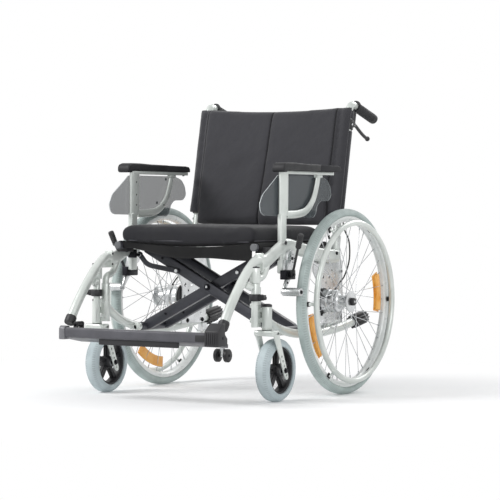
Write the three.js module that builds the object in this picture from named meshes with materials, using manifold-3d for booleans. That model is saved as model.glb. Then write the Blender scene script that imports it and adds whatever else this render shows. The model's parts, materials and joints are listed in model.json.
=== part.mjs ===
// Heavy-duty folding wheelchair, millimetres, +Z up, the sitter faces -Y and their left is +X.
// The construction frame has its rear axle over Y = 0 and the ground at Z = 0.
// The finished group is moved along Y so that its origin is the bottom centre of its own box.
import * as THREE from 'three';
import { mergeVertices } from 'three/addons/utils/BufferGeometryUtils.js';
import Module from 'manifold-3d';

const wasm = await Module();
wasm.setup();

// Clearances and cutting values shared by every piece.
const seatGap = 0.3;
const runGap = 0.4;
const sideGap = 1.5;
const overrun = 6;
const tubeSides = 8;
const pinSides = 10;

// Rear wheel: 24 inch pneumatic wheel with hand rim, drum brake and quick-release axle.
const wheel = {
  radius: 305, track: 714, tyreWidth: 35, tyreDepth: 24, rimWidth: 28, rimDepth: 19, segments: 32,
  hubRadius: 21, hubInner: 27, hubOuter: 24, flangeRadius: 35, flangeThickness: 5,
  spokeThickness: 3, spokes: 8, capRadius: 13, capLength: 12,
};
const handRim = { inset: 22, tube: 19, offset: 38, tabWidth: 12, tabThickness: 4, tabs: 6 };
const axle = { radius: 6.35, nut: 3 };
const drum = { radius: 38, width: 22, lipRadius: 42, lipWidth: 6 };

// Caster: solid grey tyre on a black spoked hub in a forged fork.
const caster = {
  radius: 100, width: 50, track: 647, axleY: -392, stemY: -448, tyreDepth: 26, segments: 18,
  hubWidth: 44, hubRadius: 22, boreRadius: 6.4, axleRadius: 6, spokes: 5, spokeWidth: 16,
  rimThickness: 7, webThickness: 14,
};
const fork = {
  legOffset: 33, legThickness: 6, legWidth: 30, crownTop: 228, crownThickness: 18, crownRadius: 22,
  stemRadius: 9, stemTop: 296, holeRadius: 4, holes: 5, holePitch: 17, toeRadius: 15,
};
const housing = { radius: 16, bottom: 230, top: 302 };

// Side frame: a plane of welded tubes on each side.
const frameX = 287;
const upright = { y: -452, radius: 14, bottom: 238, top: 362 };
const bridge = { radius: 11, kneeZ: 386, kneeY: -410, heelZ: 394, topY: -382, topZ: 448, bend: 36 };
const lowerTube = { x: 291.5, radius: 14, frontY: -444, rearY: 232, lowZ: 199, highZ: 286, bend: 55 };
const lowerTubeShares = [[0, 1], [0.12, 0.44], [0.3, 0.1], [0.54, 0], [0.78, 0.16], [1, 0.47]];
const upperArch = { width: 24, height: 46, frontY: -427, rearY: 70, lowZ: 441, highZ: 495, bend: 30 };
const upperArchShares = [[0, 0], [0.06, 0.01], [0.17, 0.5], [0.3, 1], [0.5, 0.68], [0.76, 0.3], [1, 0.2]];
const rearPost = { radius: 16, bottomZ: 452, topZ: 520 };
const stepCap = { radius: 23, length: 92, startY: 166, flutes: 8, fluteDepth: 5, boreWall: 0.4 };
const spacer = { reach: 12, height: 14, lowZ: 252, highZ: 284 };

// Back: two canes that lean back, bent rearward into push handles.
const back = {
  x: 279, radius: 12.5, lean: 0.198, atZ: 963, atY: 166, bend: 30, handleSlope: 0.29,
  cornerZ: 966,
};
const grip = { radius: 17, length: 145, start: 36, cap: 6, ribs: 3, ribDepth: 2 };
const upholstery = {
  topDrop: 15, lift: 28, thickness: 24, sleeve: 5, sleeveDrop: 6, sleeveLift: 42, overhang: 18,
  topBow: 12, bottomBow: -20, topSag: 12, seamDepth: 3, edgeRound: 8, columns: 12, rows: 6,
};
const leverClamp = {
  drop: 73, height: 34, wall: 6, noseLength: 26, noseWidth: 16, pinRadius: 4,
  housingWidth: 24, housingRise: 45, housingDepth: 20,
};
const attendantLever = { width: 12, length: 108, drop: 44, thickness: 10, ballRadius: 8.5 };
const brakeCable = { radius: 2.5, sides: 8, steps: 21, outset: 42, behind: 27 };
const cableShares = [
  [0.152, -0.07, 0.89, 1], [0.338, -0.095, 0.926, 1], [0.524, 0, 0.926, 1], [0.627, 0.286, 1, 1],
  [0.71, 0.81, 1.1, 1], [0.822, 1, 1.096, 1], [0.919, 1, 1, 0.759], [0.963, 1, 1, 0.323], [1, 1, 1, 0],
];

// Seat: rails on the cross arms, a sling between them and a cushion on the sling.
const seat = {
  railX: 259, railZ: 486, railRadius: 12, frontY: -423, rearY: 42,
};
const sling = { thickness: 3, sag: 14, hem: 50, hemThickness: 4, hemInset: 14, columns: 12 };
const cushion = {
  frontY: -425, rearY: 16, height: 51, crown: 9, corner: 16, puff: 5,
  columns: 8, rows: 8,
};
const saddle = { width: 26, length: 44, height: 10, frontY: -372, rearY: -30 };

// Cross brace: two pairs of arms, each pair fixed to one seat rail and turning on one lower rod.
const brace = {
  pivotX: 262, pivotZ: 215, rodRadius: 7, sleeveRadius: 14, sleeveFront: -290, sleeveRear: -122,
  armHeight: 34, heelShare: 0.75, tipShare: -0.6, armThickness: 22, armPitch: 25, frontArmY: -274, rearArmY: -164,
  trimZ: 478, boltRadius: 7, boltHead: 12, boltHeadLength: 6,
};
const rodClamp = { length: 16, radius: 13, plate: 10 };
const link = {
  frameZ: 453, frameX: 262, footThickness: 9, footRise: 18, armX: 118, armZ: 402, width: 16, thickness: 5, elbowShareX: 0.2,
  elbowShareZ: 0.66, pinRadius: 5, bossRadius: 9.5,
};

// Axle plate bolted outboard of the side frame.
const plate = {
  thickness: 5, inset: 19, frontY: -64, rearY: 134, topZ: 446, bottomZ: 212, corner: 14, holeRadius: 6.5,
  holeRows: 4, holeColumns: 3, holePitchY: 40, holePitchZ: 40, waist: 44, bossRadius: 8,
  bosses: [[15, 222], [110, 222], [-30, 436], [28, 436]],
};

// Leg rest: a curved tube that swings about the hanger post.
const hanger = {
  x: 300, y: -484, postRadius: 11, postBottom: 238, postTop: 376, pinRadius: 8, pinTop: 409,
  sleeveRadius: 17, sleeveTop: 424,
};
const legTube = { x: 287, radius: 15, bend: 26, topY: -431, topZ: 446, footY: -646, footZ: 254 };
const legTubeShares = [[0, 0], [0.13, -0.01], [0.36, 0.17], [0.55, 0.375], [0.735, 0.6], [0.893, 0.82], [1, 1]];
const gusset = { thickness: 10, plate: 7, height: 56, lowZ: 413 };
const hook = { radius: 12, z: 360, reachY: -512 };
const latch = { z: 342, height: 22, radius: 18, bladeLength: 40, bladeWidth: 16, bladeDrop: 8 };
const collar = { radius: 19, length: 30, cover: 10 };

// Footboard: one board hinged at the sitter's right leg rest.
const board = {
  leftX: 262, rightX: -294, frontY: -700, depth: 122, frontHeight: 32, rearHeight: 12,
  bottomZ: 196, bottomTilt: 0.16, ribHalf: 148, ribHeight: 14, ribThickness: 10, ribInset: 10,
};
const boardHinge = { x: -258, z: 238, pinRadius: 4, knuckle: 8, lugY: -652, lugLength: 18, earLength: 9 };
const boardLatch = { width: 50, frontY: -721, rearY: -677, topZ: 258, bottomZ: 188, ribs: 4, ribDepth: 3 };

// Armrest: oval post in a socket, flat bar, curved brace, pad and clear side panel.
const arm = {
  x: 287, thickness: 17, postFrontY: -314, postRearY: -261, postTopZ: 727, sleeveZ: 586,
  innerRearY: -278, stubZ: 402, barBottomZ: 720, barTopZ: 731, barRearY: 30,
  braceWidth: 26, braceStartY: -60, braceMidY: -98, braceMidZ: 594, braceEndZ: 591, braceBend: 146,
};
const socket = { bottomZ: 500, topZ: 532, wall: 9, outerWall: 7, footZ: 474 };
const pad = { x: 297, width: 46, frontY: -341, rearY: 38, thickness: 20, noseDrop: 6, noseRadius: 13, corner: 9 };
const panel = { thickness: 3, frontY: -422, rearY: 44, bottomZ: 579, topZ: 716.5 };
const panelShares = [
  [0.248, 1], [0.041, 0.536], [0, 0.318], [0.018, 0.127], [0.06, 0.055], [0.438, 0.038], [0.74, 0],
  [0.781, 0.1], [0.794, 0.282], [0.84, 0.398], [0.958, 0.407], [1, 0.53], [0.985, 0.745],
  [0.938, 0.912], [0.873, 0.978], [0.74, 1],
];

// Parking brake, hung from the upper member by a round clamp and its neck.
const parking = {
  pivotX: 316, pivotRise: 37, pivotZ: 398, bodyLength: 66, bodyHeight: 30, bodyWidth: 15,
  leverWidth: 14, leverTopX: 356, leverLean: 20, leverTopZ: 500, gripRadius: 10, gripLength: 46,
  pinRadius: 4, shoeRadius: 13, shoeLength: 66, shoeX: 342, shoeGap: 5, shoeZ: 345,
  armWidth: 12, armThickness: 6, clampY: -264, clampZ: 450, clampRadius: 28, clampOut: 8, clampIn: 5.5,
  neckFrontY: -306, neckWidth: 48, neckTopZ: 444,
};

// Anti-tip wheels behind the sitter's right step tube.
const antiTip = {
  tube: 10, footZ: 86, wheelRadius: 24, wheelWidth: 16, wheelGap: 24, axleRadius: 4, reachY: 284,
  clamp: 30,
};

// Finishes, colours as seen in even light.
const paint = { color: 0xd3dad6, roughness: 0.38, metalness: 0.3 };
const silver = { color: 0xc9cdcf, roughness: 0.32, metalness: 0.7 };
const charcoal = { color: 0x2b2b31, roughness: 0.5, metalness: 0.2 };
const greyTyre = { color: 0xa3b2b1, roughness: 0.75, metalness: 0 };
const blackPlastic = { color: 0x17171a, roughness: 0.55, metalness: 0 };
const nylon = { color: 0x24242a, roughness: 0.9, metalness: 0 };
const foam = { color: 0x1a1a1f, roughness: 0.85, metalness: 0 };
const smoke = { color: 0x9aa3a5, roughness: 0.15, metalness: 0 };
const boardGrey = { color: 0x46464d, roughness: 0.5, metalness: 0.3 };

const model = new THREE.Group();
const wheelX = wheel.track / 2;
const casterX = caster.track / 2;
const wheelZ = wheel.radius;
const bead = wheel.radius - wheel.tyreDepth;
const handRimRadius = bead - handRim.inset;

// Solids and meshes.
function solid(geometry) {
  const bare = geometry.clone();
  bare.deleteAttribute('normal');
  bare.deleteAttribute('uv');
  const merged = mergeVertices(bare);
  const vertProperties = new Float32Array(merged.attributes.position.array);
  const triVerts = new Uint32Array(merged.index.array);
  let volume = 0;
  const corners = [new THREE.Vector3(), new THREE.Vector3(), new THREE.Vector3()];
  for (let i = 0; i < triVerts.length; i += 3) {
    corners.forEach((corner, k) => corner.fromArray(vertProperties, triVerts[i + k] * 3));
    volume += corners[0].dot(corners[1].cross(corners[2]));
  }
  if (volume < 0) {
    for (let i = 0; i < triVerts.length; i += 3) {
      [triVerts[i], triVerts[i + 1]] = [triVerts[i + 1], triVerts[i]];
    }
  }
  return new wasm.Manifold(new wasm.Mesh({ numProp: 3, vertProperties, triVerts }));
}

function join(geometries) {
  return geometries.map((item) => (item.isBufferGeometry ? solid(item) : item))
    .reduce((sum, item) => sum.add(item));
}

function cut(body, tools) {
  const start = body.isBufferGeometry ? solid(body) : body;
  return tools.map((item) => (item.isBufferGeometry ? solid(item) : item))
    .reduce((rest, item) => rest.subtract(item), start);
}

function toGeometry(body) {
  if (body.isBufferGeometry) return toGeometry(solid(body));
  const mesh = body.getMesh();
  const geometry = new THREE.BufferGeometry();
  const points = new Float32Array(mesh.triVerts.length * 3);
  mesh.triVerts.forEach((vertex, i) => {
    for (let k = 0; k < 3; k += 1) points[i * 3 + k] = mesh.vertProperties[vertex * mesh.numProp + k];
  });
  geometry.setAttribute('position', new THREE.BufferAttribute(points, 3));
  geometry.computeVertexNormals();
  return geometry;
}

function flipped(geometry) {
  const copy = geometry.clone();
  const points = copy.attributes.position;
  for (let i = 0; i < points.count; i += 1) points.setX(i, -points.getX(i));
  for (let i = 0; i < points.count; i += 3) {
    const held = [points.getX(i), points.getY(i), points.getZ(i)];
    points.setXYZ(i, points.getX(i + 1), points.getY(i + 1), points.getZ(i + 1));
    points.setXYZ(i + 1, ...held);
  }
  copy.computeVertexNormals();
  return copy;
}

function addPiece(name, body, finish) {
  const mesh = new THREE.Mesh(toGeometry(body), new THREE.MeshStandardMaterial(finish));
  mesh.name = name;
  model.add(mesh);
}

// A piece modelled for the sitter's left side (+X) and its mirror image.
function addPair(name, body, finish) {
  const left = toGeometry(body);
  addPiece(`${name}_left`, left, finish);
  addPiece(`${name}_right`, flipped(left), finish);
}

// Shapes.
const at = (x, y, z) => new THREE.Vector3(x, y, z);

function box(low, high) {
  const geometry = new THREE.BoxGeometry(high.x - low.x, high.y - low.y, high.z - low.z);
  return geometry.translate((low.x + high.x) / 2, (low.y + high.y) / 2, (low.z + high.z) / 2);
}

function rod(from, to, radius, sides = pinSides, endRadius = radius) {
  const run = to.clone().sub(from);
  const geometry = new THREE.CylinderGeometry(endRadius, radius, run.length(), sides);
  const turn = new THREE.Quaternion().setFromUnitVectors(at(0, 1, 0), run.clone().normalize());
  const middle = from.clone().add(to).multiplyScalar(0.5);
  return geometry.applyQuaternion(turn).translate(middle.x, middle.y, middle.z);
}

function ball(centre, radius, sides = pinSides) {
  return new THREE.SphereGeometry(radius, sides, sides / 2).translate(centre.x, centre.y, centre.z);
}

// A ring or disc about an X axis; profile points are [axial, radial].
function spin(profile, segments, centre) {
  const points = profile.map(([axial, radial]) => new THREE.Vector2(radial, axial));
  const geometry = new THREE.LatheGeometry(points, segments, Math.PI / segments);
  return geometry.rotateZ(-Math.PI / 2).translate(centre.x, centre.y, centre.z);
}

// An outline of [y, z] points carried along X.
function slabX(outline, fromX, toX) {
  const shape = new THREE.Shape(outline.map(([y, z]) => new THREE.Vector2(y, z)));
  const geometry = new THREE.ExtrudeGeometry(shape, { depth: toX - fromX, bevelEnabled: false });
  const turn = new THREE.Matrix4().makeBasis(at(0, 1, 0), at(0, 0, 1), at(1, 0, 0));
  return geometry.applyMatrix4(turn).translate(fromX, 0, 0);
}

// An outline of [x, z] points carried along Y.
function slabY(outline, fromY, toY) {
  const shape = new THREE.Shape(outline.map(([x, z]) => new THREE.Vector2(x, z)));
  const geometry = new THREE.ExtrudeGeometry(shape, { depth: toY - fromY, bevelEnabled: false });
  const turn = new THREE.Matrix4().makeBasis(at(1, 0, 0), at(0, 0, 1), at(0, -1, 0));
  return geometry.applyMatrix4(turn).translate(0, toY, 0);
}

// An outline of [x, y] points carried along Z.
function slabZ(outline, fromZ, toZ) {
  const shape = new THREE.Shape(outline.map(([x, y]) => new THREE.Vector2(x, y)));
  const geometry = new THREE.ExtrudeGeometry(shape, { depth: toZ - fromZ, bevelEnabled: false });
  return geometry.translate(0, 0, fromZ);
}

function ovalOutline(x, y, halfX, halfY, sides = pinSides) {
  return Array.from({ length: sides }, (unused, i) => {
    const angle = (i + 0.5) * 2 * Math.PI / sides;
    return [x + halfX * Math.cos(angle), y + halfY * Math.sin(angle)];
  });
}

// Straight runs joined by round bends.
function route(points, bend) {
  const path = new THREE.CurvePath();
  let start = points[0];
  for (let i = 1; i < points.length - 1; i += 1) {
    const corner = points[i];
    const before = Math.min(bend, corner.distanceTo(start) * 0.45);
    const after = Math.min(bend, corner.distanceTo(points[i + 1]) * 0.45);
    const entry = corner.clone().lerp(start, before / corner.distanceTo(start));
    const exit = corner.clone().lerp(points[i + 1], after / corner.distanceTo(points[i + 1]));
    path.add(new THREE.LineCurve3(start, entry));
    path.add(new THREE.QuadraticBezierCurve3(entry, corner, exit));
    start = exit;
  }
  path.add(new THREE.LineCurve3(start, points[points.length - 1]));
  return path;
}

// A tube of oval section: halfX across the plane of the path, halfY within it.
function tube(points, bend, halfX, halfY, steps, sides = tubeSides) {
  const section = new THREE.Shape(ovalOutline(0, 0, halfX, halfY, sides).map(([x, y]) => new THREE.Vector2(x, y)));
  return new THREE.ExtrudeGeometry(section, { extrudePath: route(points, bend), steps, bevelEnabled: false });
}

// A bore whose flats clear a round pin or tube of the given radius.
const bored = (radius, sides = pinSides, gap = runGap) => (radius + gap) / Math.cos(Math.PI / sides);

const along = (shares, x, y, runY, z, runZ) => shares.map(([a, b]) => at(x, y + a * runY, z + b * runZ));

// A closed skin between an upper and a lower surface given over a grid of columns and rows.
function blanket(columns, rows, upper, lower) {
  const points = [];
  const index = [];
  const layer = (columns + 1) * (rows + 1);
  [upper, lower].forEach((surface) => {
    for (let j = 0; j <= rows; j += 1) {
      for (let i = 0; i <= columns; i += 1) points.push(...surface(i / columns, j / rows));
    }
  });
  const id = (side, i, j) => side * layer + j * (columns + 1) + i;
  const quad = (a, b, c, d) => index.push(a, b, c, a, c, d);
  for (let j = 0; j < rows; j += 1) {
    for (let i = 0; i < columns; i += 1) {
      quad(id(0, i, j), id(0, i + 1, j), id(0, i + 1, j + 1), id(0, i, j + 1));
      quad(id(1, i, j), id(1, i, j + 1), id(1, i + 1, j + 1), id(1, i + 1, j));
    }
  }
  for (let i = 0; i < columns; i += 1) {
    quad(id(1, i, 0), id(1, i + 1, 0), id(0, i + 1, 0), id(0, i, 0));
    quad(id(0, i, rows), id(0, i + 1, rows), id(1, i + 1, rows), id(1, i, rows));
  }
  for (let j = 0; j < rows; j += 1) {
    quad(id(0, 0, j), id(0, 0, j + 1), id(1, 0, j + 1), id(1, 0, j));
    quad(id(1, columns, j), id(1, columns, j + 1), id(0, columns, j + 1), id(0, columns, j));
  }
  const geometry = new THREE.BufferGeometry();
  geometry.setAttribute('position', new THREE.Float32BufferAttribute(points, 3));
  geometry.setIndex(index);
  return geometry;
}

const clampZ = back.cornerZ - leverClamp.drop;

// The back canes lean, so their centre and surface are read at a height.
const caneY = (z) => back.atY + (z - back.atZ) * back.lean;

// Rear wheels.
function rearWheel() {
  const outer = wheel.radius / Math.cos(Math.PI / wheel.segments);
  const halfTyre = wheel.tyreWidth / 2;
  const halfRim = wheel.rimWidth / 2;
  const centre = at(wheelX, 0, wheelZ);
  const shoulder = wheel.tyreDepth * 0.36;
  const tyre = spin([
    [-halfRim + seatGap, bead + seatGap], [-halfTyre, bead + shoulder], [-halfTyre * 0.5, outer],
    [halfTyre * 0.5, outer], [halfTyre, bead + shoulder], [halfRim - seatGap, bead + seatGap],
    [-halfRim + seatGap, bead + seatGap],
  ], wheel.segments, centre);
  addPair('rear_tyre', tyre, greyTyre);

  const rimInner = bead - wheel.rimDepth;
  const rim = spin([
    [-halfRim, bead], [-halfRim, bead - wheel.rimDepth / 2], [-halfRim / 2, rimInner], [halfRim / 2, rimInner],
    [halfRim, bead - wheel.rimDepth / 2], [halfRim, bead], [-halfRim, bead],
  ], wheel.segments, centre);
  const flangeIn = -wheel.hubInner + wheel.flangeThickness;
  const flangeOut = wheel.hubOuter - wheel.flangeThickness;
  const hub = spin([
    [-wheel.hubInner, axle.radius + runGap], [-wheel.hubInner, wheel.flangeRadius], [flangeIn, wheel.flangeRadius],
    [flangeIn, wheel.hubRadius], [flangeOut, wheel.hubRadius], [flangeOut, wheel.flangeRadius],
    [wheel.hubOuter, wheel.flangeRadius], [wheel.hubOuter, axle.radius + runGap],
    [-wheel.hubInner, axle.radius + runGap],
  ], 12, centre);
  const spokes = [];
  const half = wheel.spokeThickness / 2;
  for (let i = 0; i < wheel.spokes; i += 1) {
    const angle = i * 2 * Math.PI / wheel.spokes;
    const lean = (Math.floor(i / 2) % 2 ? 1 : -1) * Math.PI / 3.2;
    const onFlange = i % 2 ? -wheel.hubInner + wheel.flangeThickness / 2 : wheel.hubOuter - wheel.flangeThickness / 2;
    const hubReach = wheel.flangeRadius - wheel.flangeThickness;
    const root = at(wheelX + onFlange, hubReach * Math.sin(angle + lean), wheelZ + hubReach * Math.cos(angle + lean));
    const tipReach = rimInner + half;
    const tip = at(wheelX, tipReach * Math.sin(angle), wheelZ + tipReach * Math.cos(angle));
    spokes.push(rod(root, tip, half, 3));
  }
  addPair('rear_wheel', join([rim, hub, ...spokes]), silver);

  const tubeRadius = handRim.tube / 2;
  const rimX = wheelX + handRim.offset;
  const ringProfile = ovalOutline(0, handRimRadius, tubeRadius, tubeRadius, 6);
  const ring = spin([...ringProfile, ringProfile[0]], wheel.segments, at(rimX, 0, wheelZ));
  const tabs = [];
  for (let i = 0; i < handRim.tabs; i += 1) {
    const angle = (i + 0.5) * 2 * Math.PI / handRim.tabs;
    const tab = box(
      at(wheelX + halfRim + seatGap, -handRim.tabWidth / 2, handRimRadius - handRim.tabThickness / 2),
      at(rimX, handRim.tabWidth / 2, handRimRadius + handRim.tabThickness / 2),
    );
    const flange = box(
      at(wheelX + halfRim + seatGap, -handRim.tabWidth / 2, handRimRadius),
      at(wheelX + halfRim + seatGap + handRim.tabThickness, handRim.tabWidth / 2, bead - seatGap),
    );
    tabs.push(...[tab, flange].map((item) => item.rotateX(-angle).translate(0, 0, wheelZ)));
  }
  addPair('hand_rim', join([ring, ...tabs]), paint);

  const plateOuter = plateX + plate.thickness;
  const drumStart = plateOuter + seatGap;
  const drumEnd = wheelX - wheel.hubInner - runGap;
  addPair('drum_brake', spin([
    [drumStart, axle.radius + runGap], [drumStart, drum.lipRadius], [drumStart + drum.lipWidth, drum.lipRadius],
    [drumStart + drum.lipWidth, drum.radius], [drumEnd, drum.radius], [drumEnd, axle.radius + runGap],
    [drumStart, axle.radius + runGap],
  ], 16, at(0, 0, wheelZ)), blackPlastic);

  const capStart = wheelX + wheel.hubOuter + runGap;
  addPair('rear_axle', spin([
    [plateX - axle.nut, 0], [plateX - axle.nut, axle.radius], [capStart, axle.radius],
    [capStart, wheel.capRadius], [capStart + wheel.capLength, wheel.capRadius * 0.86],
    [capStart + wheel.capLength, 0],
  ], pinSides, at(0, 0, wheelZ)), blackPlastic);
}

// Axle plate: perforated and bolted to bosses on the inner face of the side frame.
const plateX = frameX - plate.inset;
function axlePlate() {
  const { frontY, rearY, topZ, bottomZ, corner, waist } = plate;
  const outline = [
    [frontY + waist, bottomZ], [rearY - corner, bottomZ], [rearY, bottomZ + corner], [rearY, topZ - corner],
    [rearY - corner, topZ], [frontY + corner, topZ], [frontY, topZ - corner], [frontY, topZ - waist],
    [frontY + waist, wheelZ + waist], [frontY + waist, bottomZ + corner],
  ];
  const holes = [];
  for (let row = 0; row < plate.holeRows; row += 1) {
    for (let column = 0; column < plate.holeColumns; column += 1) {
      const y = column * plate.holePitchY;
      const z = wheelZ + (row - 1) * plate.holePitchZ;
      const axleHere = row === 1 && column === 0;
      holes.push(rod(at(plateX - overrun, y, z), at(plateX + plate.thickness + overrun, y, z),
        axleHere ? axle.radius + runGap : plate.holeRadius, axleHere ? pinSides : 6));
    }
  }
  addPair('axle_plate', cut(slabX(outline, plateX, plateX + plate.thickness), holes), silver);
}

// Casters.
function casterWheel() {
  const centre = at(casterX, caster.axleY, caster.radius);
  const outer = caster.radius / Math.cos(Math.PI / caster.segments);
  const halfWidth = caster.width / 2;
  const seatRadius = caster.radius - caster.tyreDepth;
  const round = caster.tyreDepth * 0.55;
  addPair('caster_tyre', spin([
    [-halfWidth * 0.86, seatRadius + seatGap], [-halfWidth, seatRadius + round], [-halfWidth * 0.78, outer - round * 0.42],
    [-halfWidth * 0.4, outer], [halfWidth * 0.4, outer], [halfWidth * 0.78, outer - round * 0.42],
    [halfWidth, seatRadius + round], [halfWidth * 0.86, seatRadius + seatGap], [-halfWidth * 0.86, seatRadius + seatGap],
  ], caster.segments, centre), greyTyre);

  const halfHub = caster.hubWidth / 2;
  const rimInner = seatRadius - caster.rimThickness;
  const rim = spin([
    [-halfHub * 0.8, rimInner], [-halfHub * 0.8, seatRadius], [halfHub * 0.8, seatRadius], [halfHub * 0.8, rimInner],
    [-halfHub * 0.8, rimInner],
  ], caster.segments, centre);
  const hub = spin([
    [-halfHub, caster.boreRadius], [-halfHub, caster.hubRadius], [halfHub, caster.hubRadius],
    [halfHub, caster.boreRadius], [-halfHub, caster.boreRadius],
  ], pinSides, centre);
  const webs = [];
  const halfWeb = caster.webThickness / 2;
  for (let i = 0; i < caster.spokes; i += 1) {
    const web = box(at(-halfWeb, -caster.spokeWidth / 2, caster.hubRadius - overrun / 2),
      at(halfWeb, caster.spokeWidth / 2, rimInner + overrun / 3));
    webs.push(web.rotateX(i * 2 * Math.PI / caster.spokes).translate(centre.x, centre.y, centre.z));
  }
  addPair('caster_hub', join([rim, hub, ...webs]), blackPlastic);

  const legOuter = fork.legOffset + fork.legThickness / 2;
  const axleBody = spin([
    [-legOuter, 0], [-legOuter, caster.axleRadius], [legOuter + seatGap, caster.axleRadius],
    [legOuter + seatGap, caster.boreRadius + overrun / 2], [legOuter + overrun, caster.boreRadius + overrun / 2],
    [legOuter + overrun, 0],
  ], pinSides, centre);

  const crownBottom = fork.crownTop - fork.crownThickness;
  const leanY = caster.axleY - caster.stemY;
  const legRun = at(0, leanY, caster.radius - crownBottom);
  const legPieces = [];
  const holes = [];
  const axleHole = fork.holes - 2;
  [-1, 1].forEach((side) => {
    const low = casterX + side * fork.legOffset - fork.legThickness / 2;
    const high = casterX + side * fork.legOffset + fork.legThickness / 2;
    const halfLeg = fork.legWidth / 2;
    const direction = legRun.clone().normalize();
    const foot = at(0, caster.axleY, caster.radius).addScaledVector(direction, fork.holePitch);
    const head = at(0, caster.stemY, crownBottom + fork.crownThickness / 2);
    const across = at(0, -direction.z, direction.y);
    const corners = [
      head.clone().addScaledVector(across, halfLeg), foot.clone().addScaledVector(across, halfLeg * 0.72),
      foot.clone().addScaledVector(direction, fork.toeRadius).addScaledVector(across, halfLeg * 0.35),
      foot.clone().addScaledVector(direction, fork.toeRadius).addScaledVector(across, -halfLeg * 0.35),
      foot.clone().addScaledVector(across, -halfLeg * 0.72), head.clone().addScaledVector(across, -halfLeg),
    ];
    legPieces.push(slabX(corners.map((corner) => [corner.y, corner.z]), low, high));
    for (let i = 0; i < fork.holes; i += 1) {
      const centrePoint = at(0, caster.axleY, caster.radius).addScaledVector(direction, (i - axleHole) * fork.holePitch);
      if (i !== axleHole) {
        holes.push(rod(at(low - overrun, centrePoint.y, centrePoint.z), at(high + overrun, centrePoint.y, centrePoint.z),
          fork.holeRadius, 6));
      }
    }
  });
  const crown = box(at(casterX - legOuter, caster.stemY - fork.crownRadius, crownBottom),
    at(casterX + legOuter, caster.stemY + fork.crownRadius, fork.crownTop));
  const stem = rod(at(casterX, caster.stemY, crownBottom + overrun), at(casterX, caster.stemY, fork.stemTop), fork.stemRadius);
  addPair('caster_fork', join([cut(join([crown, stem, ...legPieces]), holes), axleBody]), paint);
}

// Side frames.
const archPoints = along(upperArchShares, frameX, upperArch.frontY, upperArch.rearY - upperArch.frontY,
  upperArch.lowZ, upperArch.highZ - upperArch.lowZ);
const lowerPoints = along(lowerTubeShares, lowerTube.x, lowerTube.frontY, lowerTube.rearY - lowerTube.frontY,
  lowerTube.lowZ, lowerTube.highZ - lowerTube.lowZ);
const clampFront = brace.sleeveFront - seatGap - rodClamp.length;
const clampRear = brace.sleeveRear + seatGap;

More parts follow.
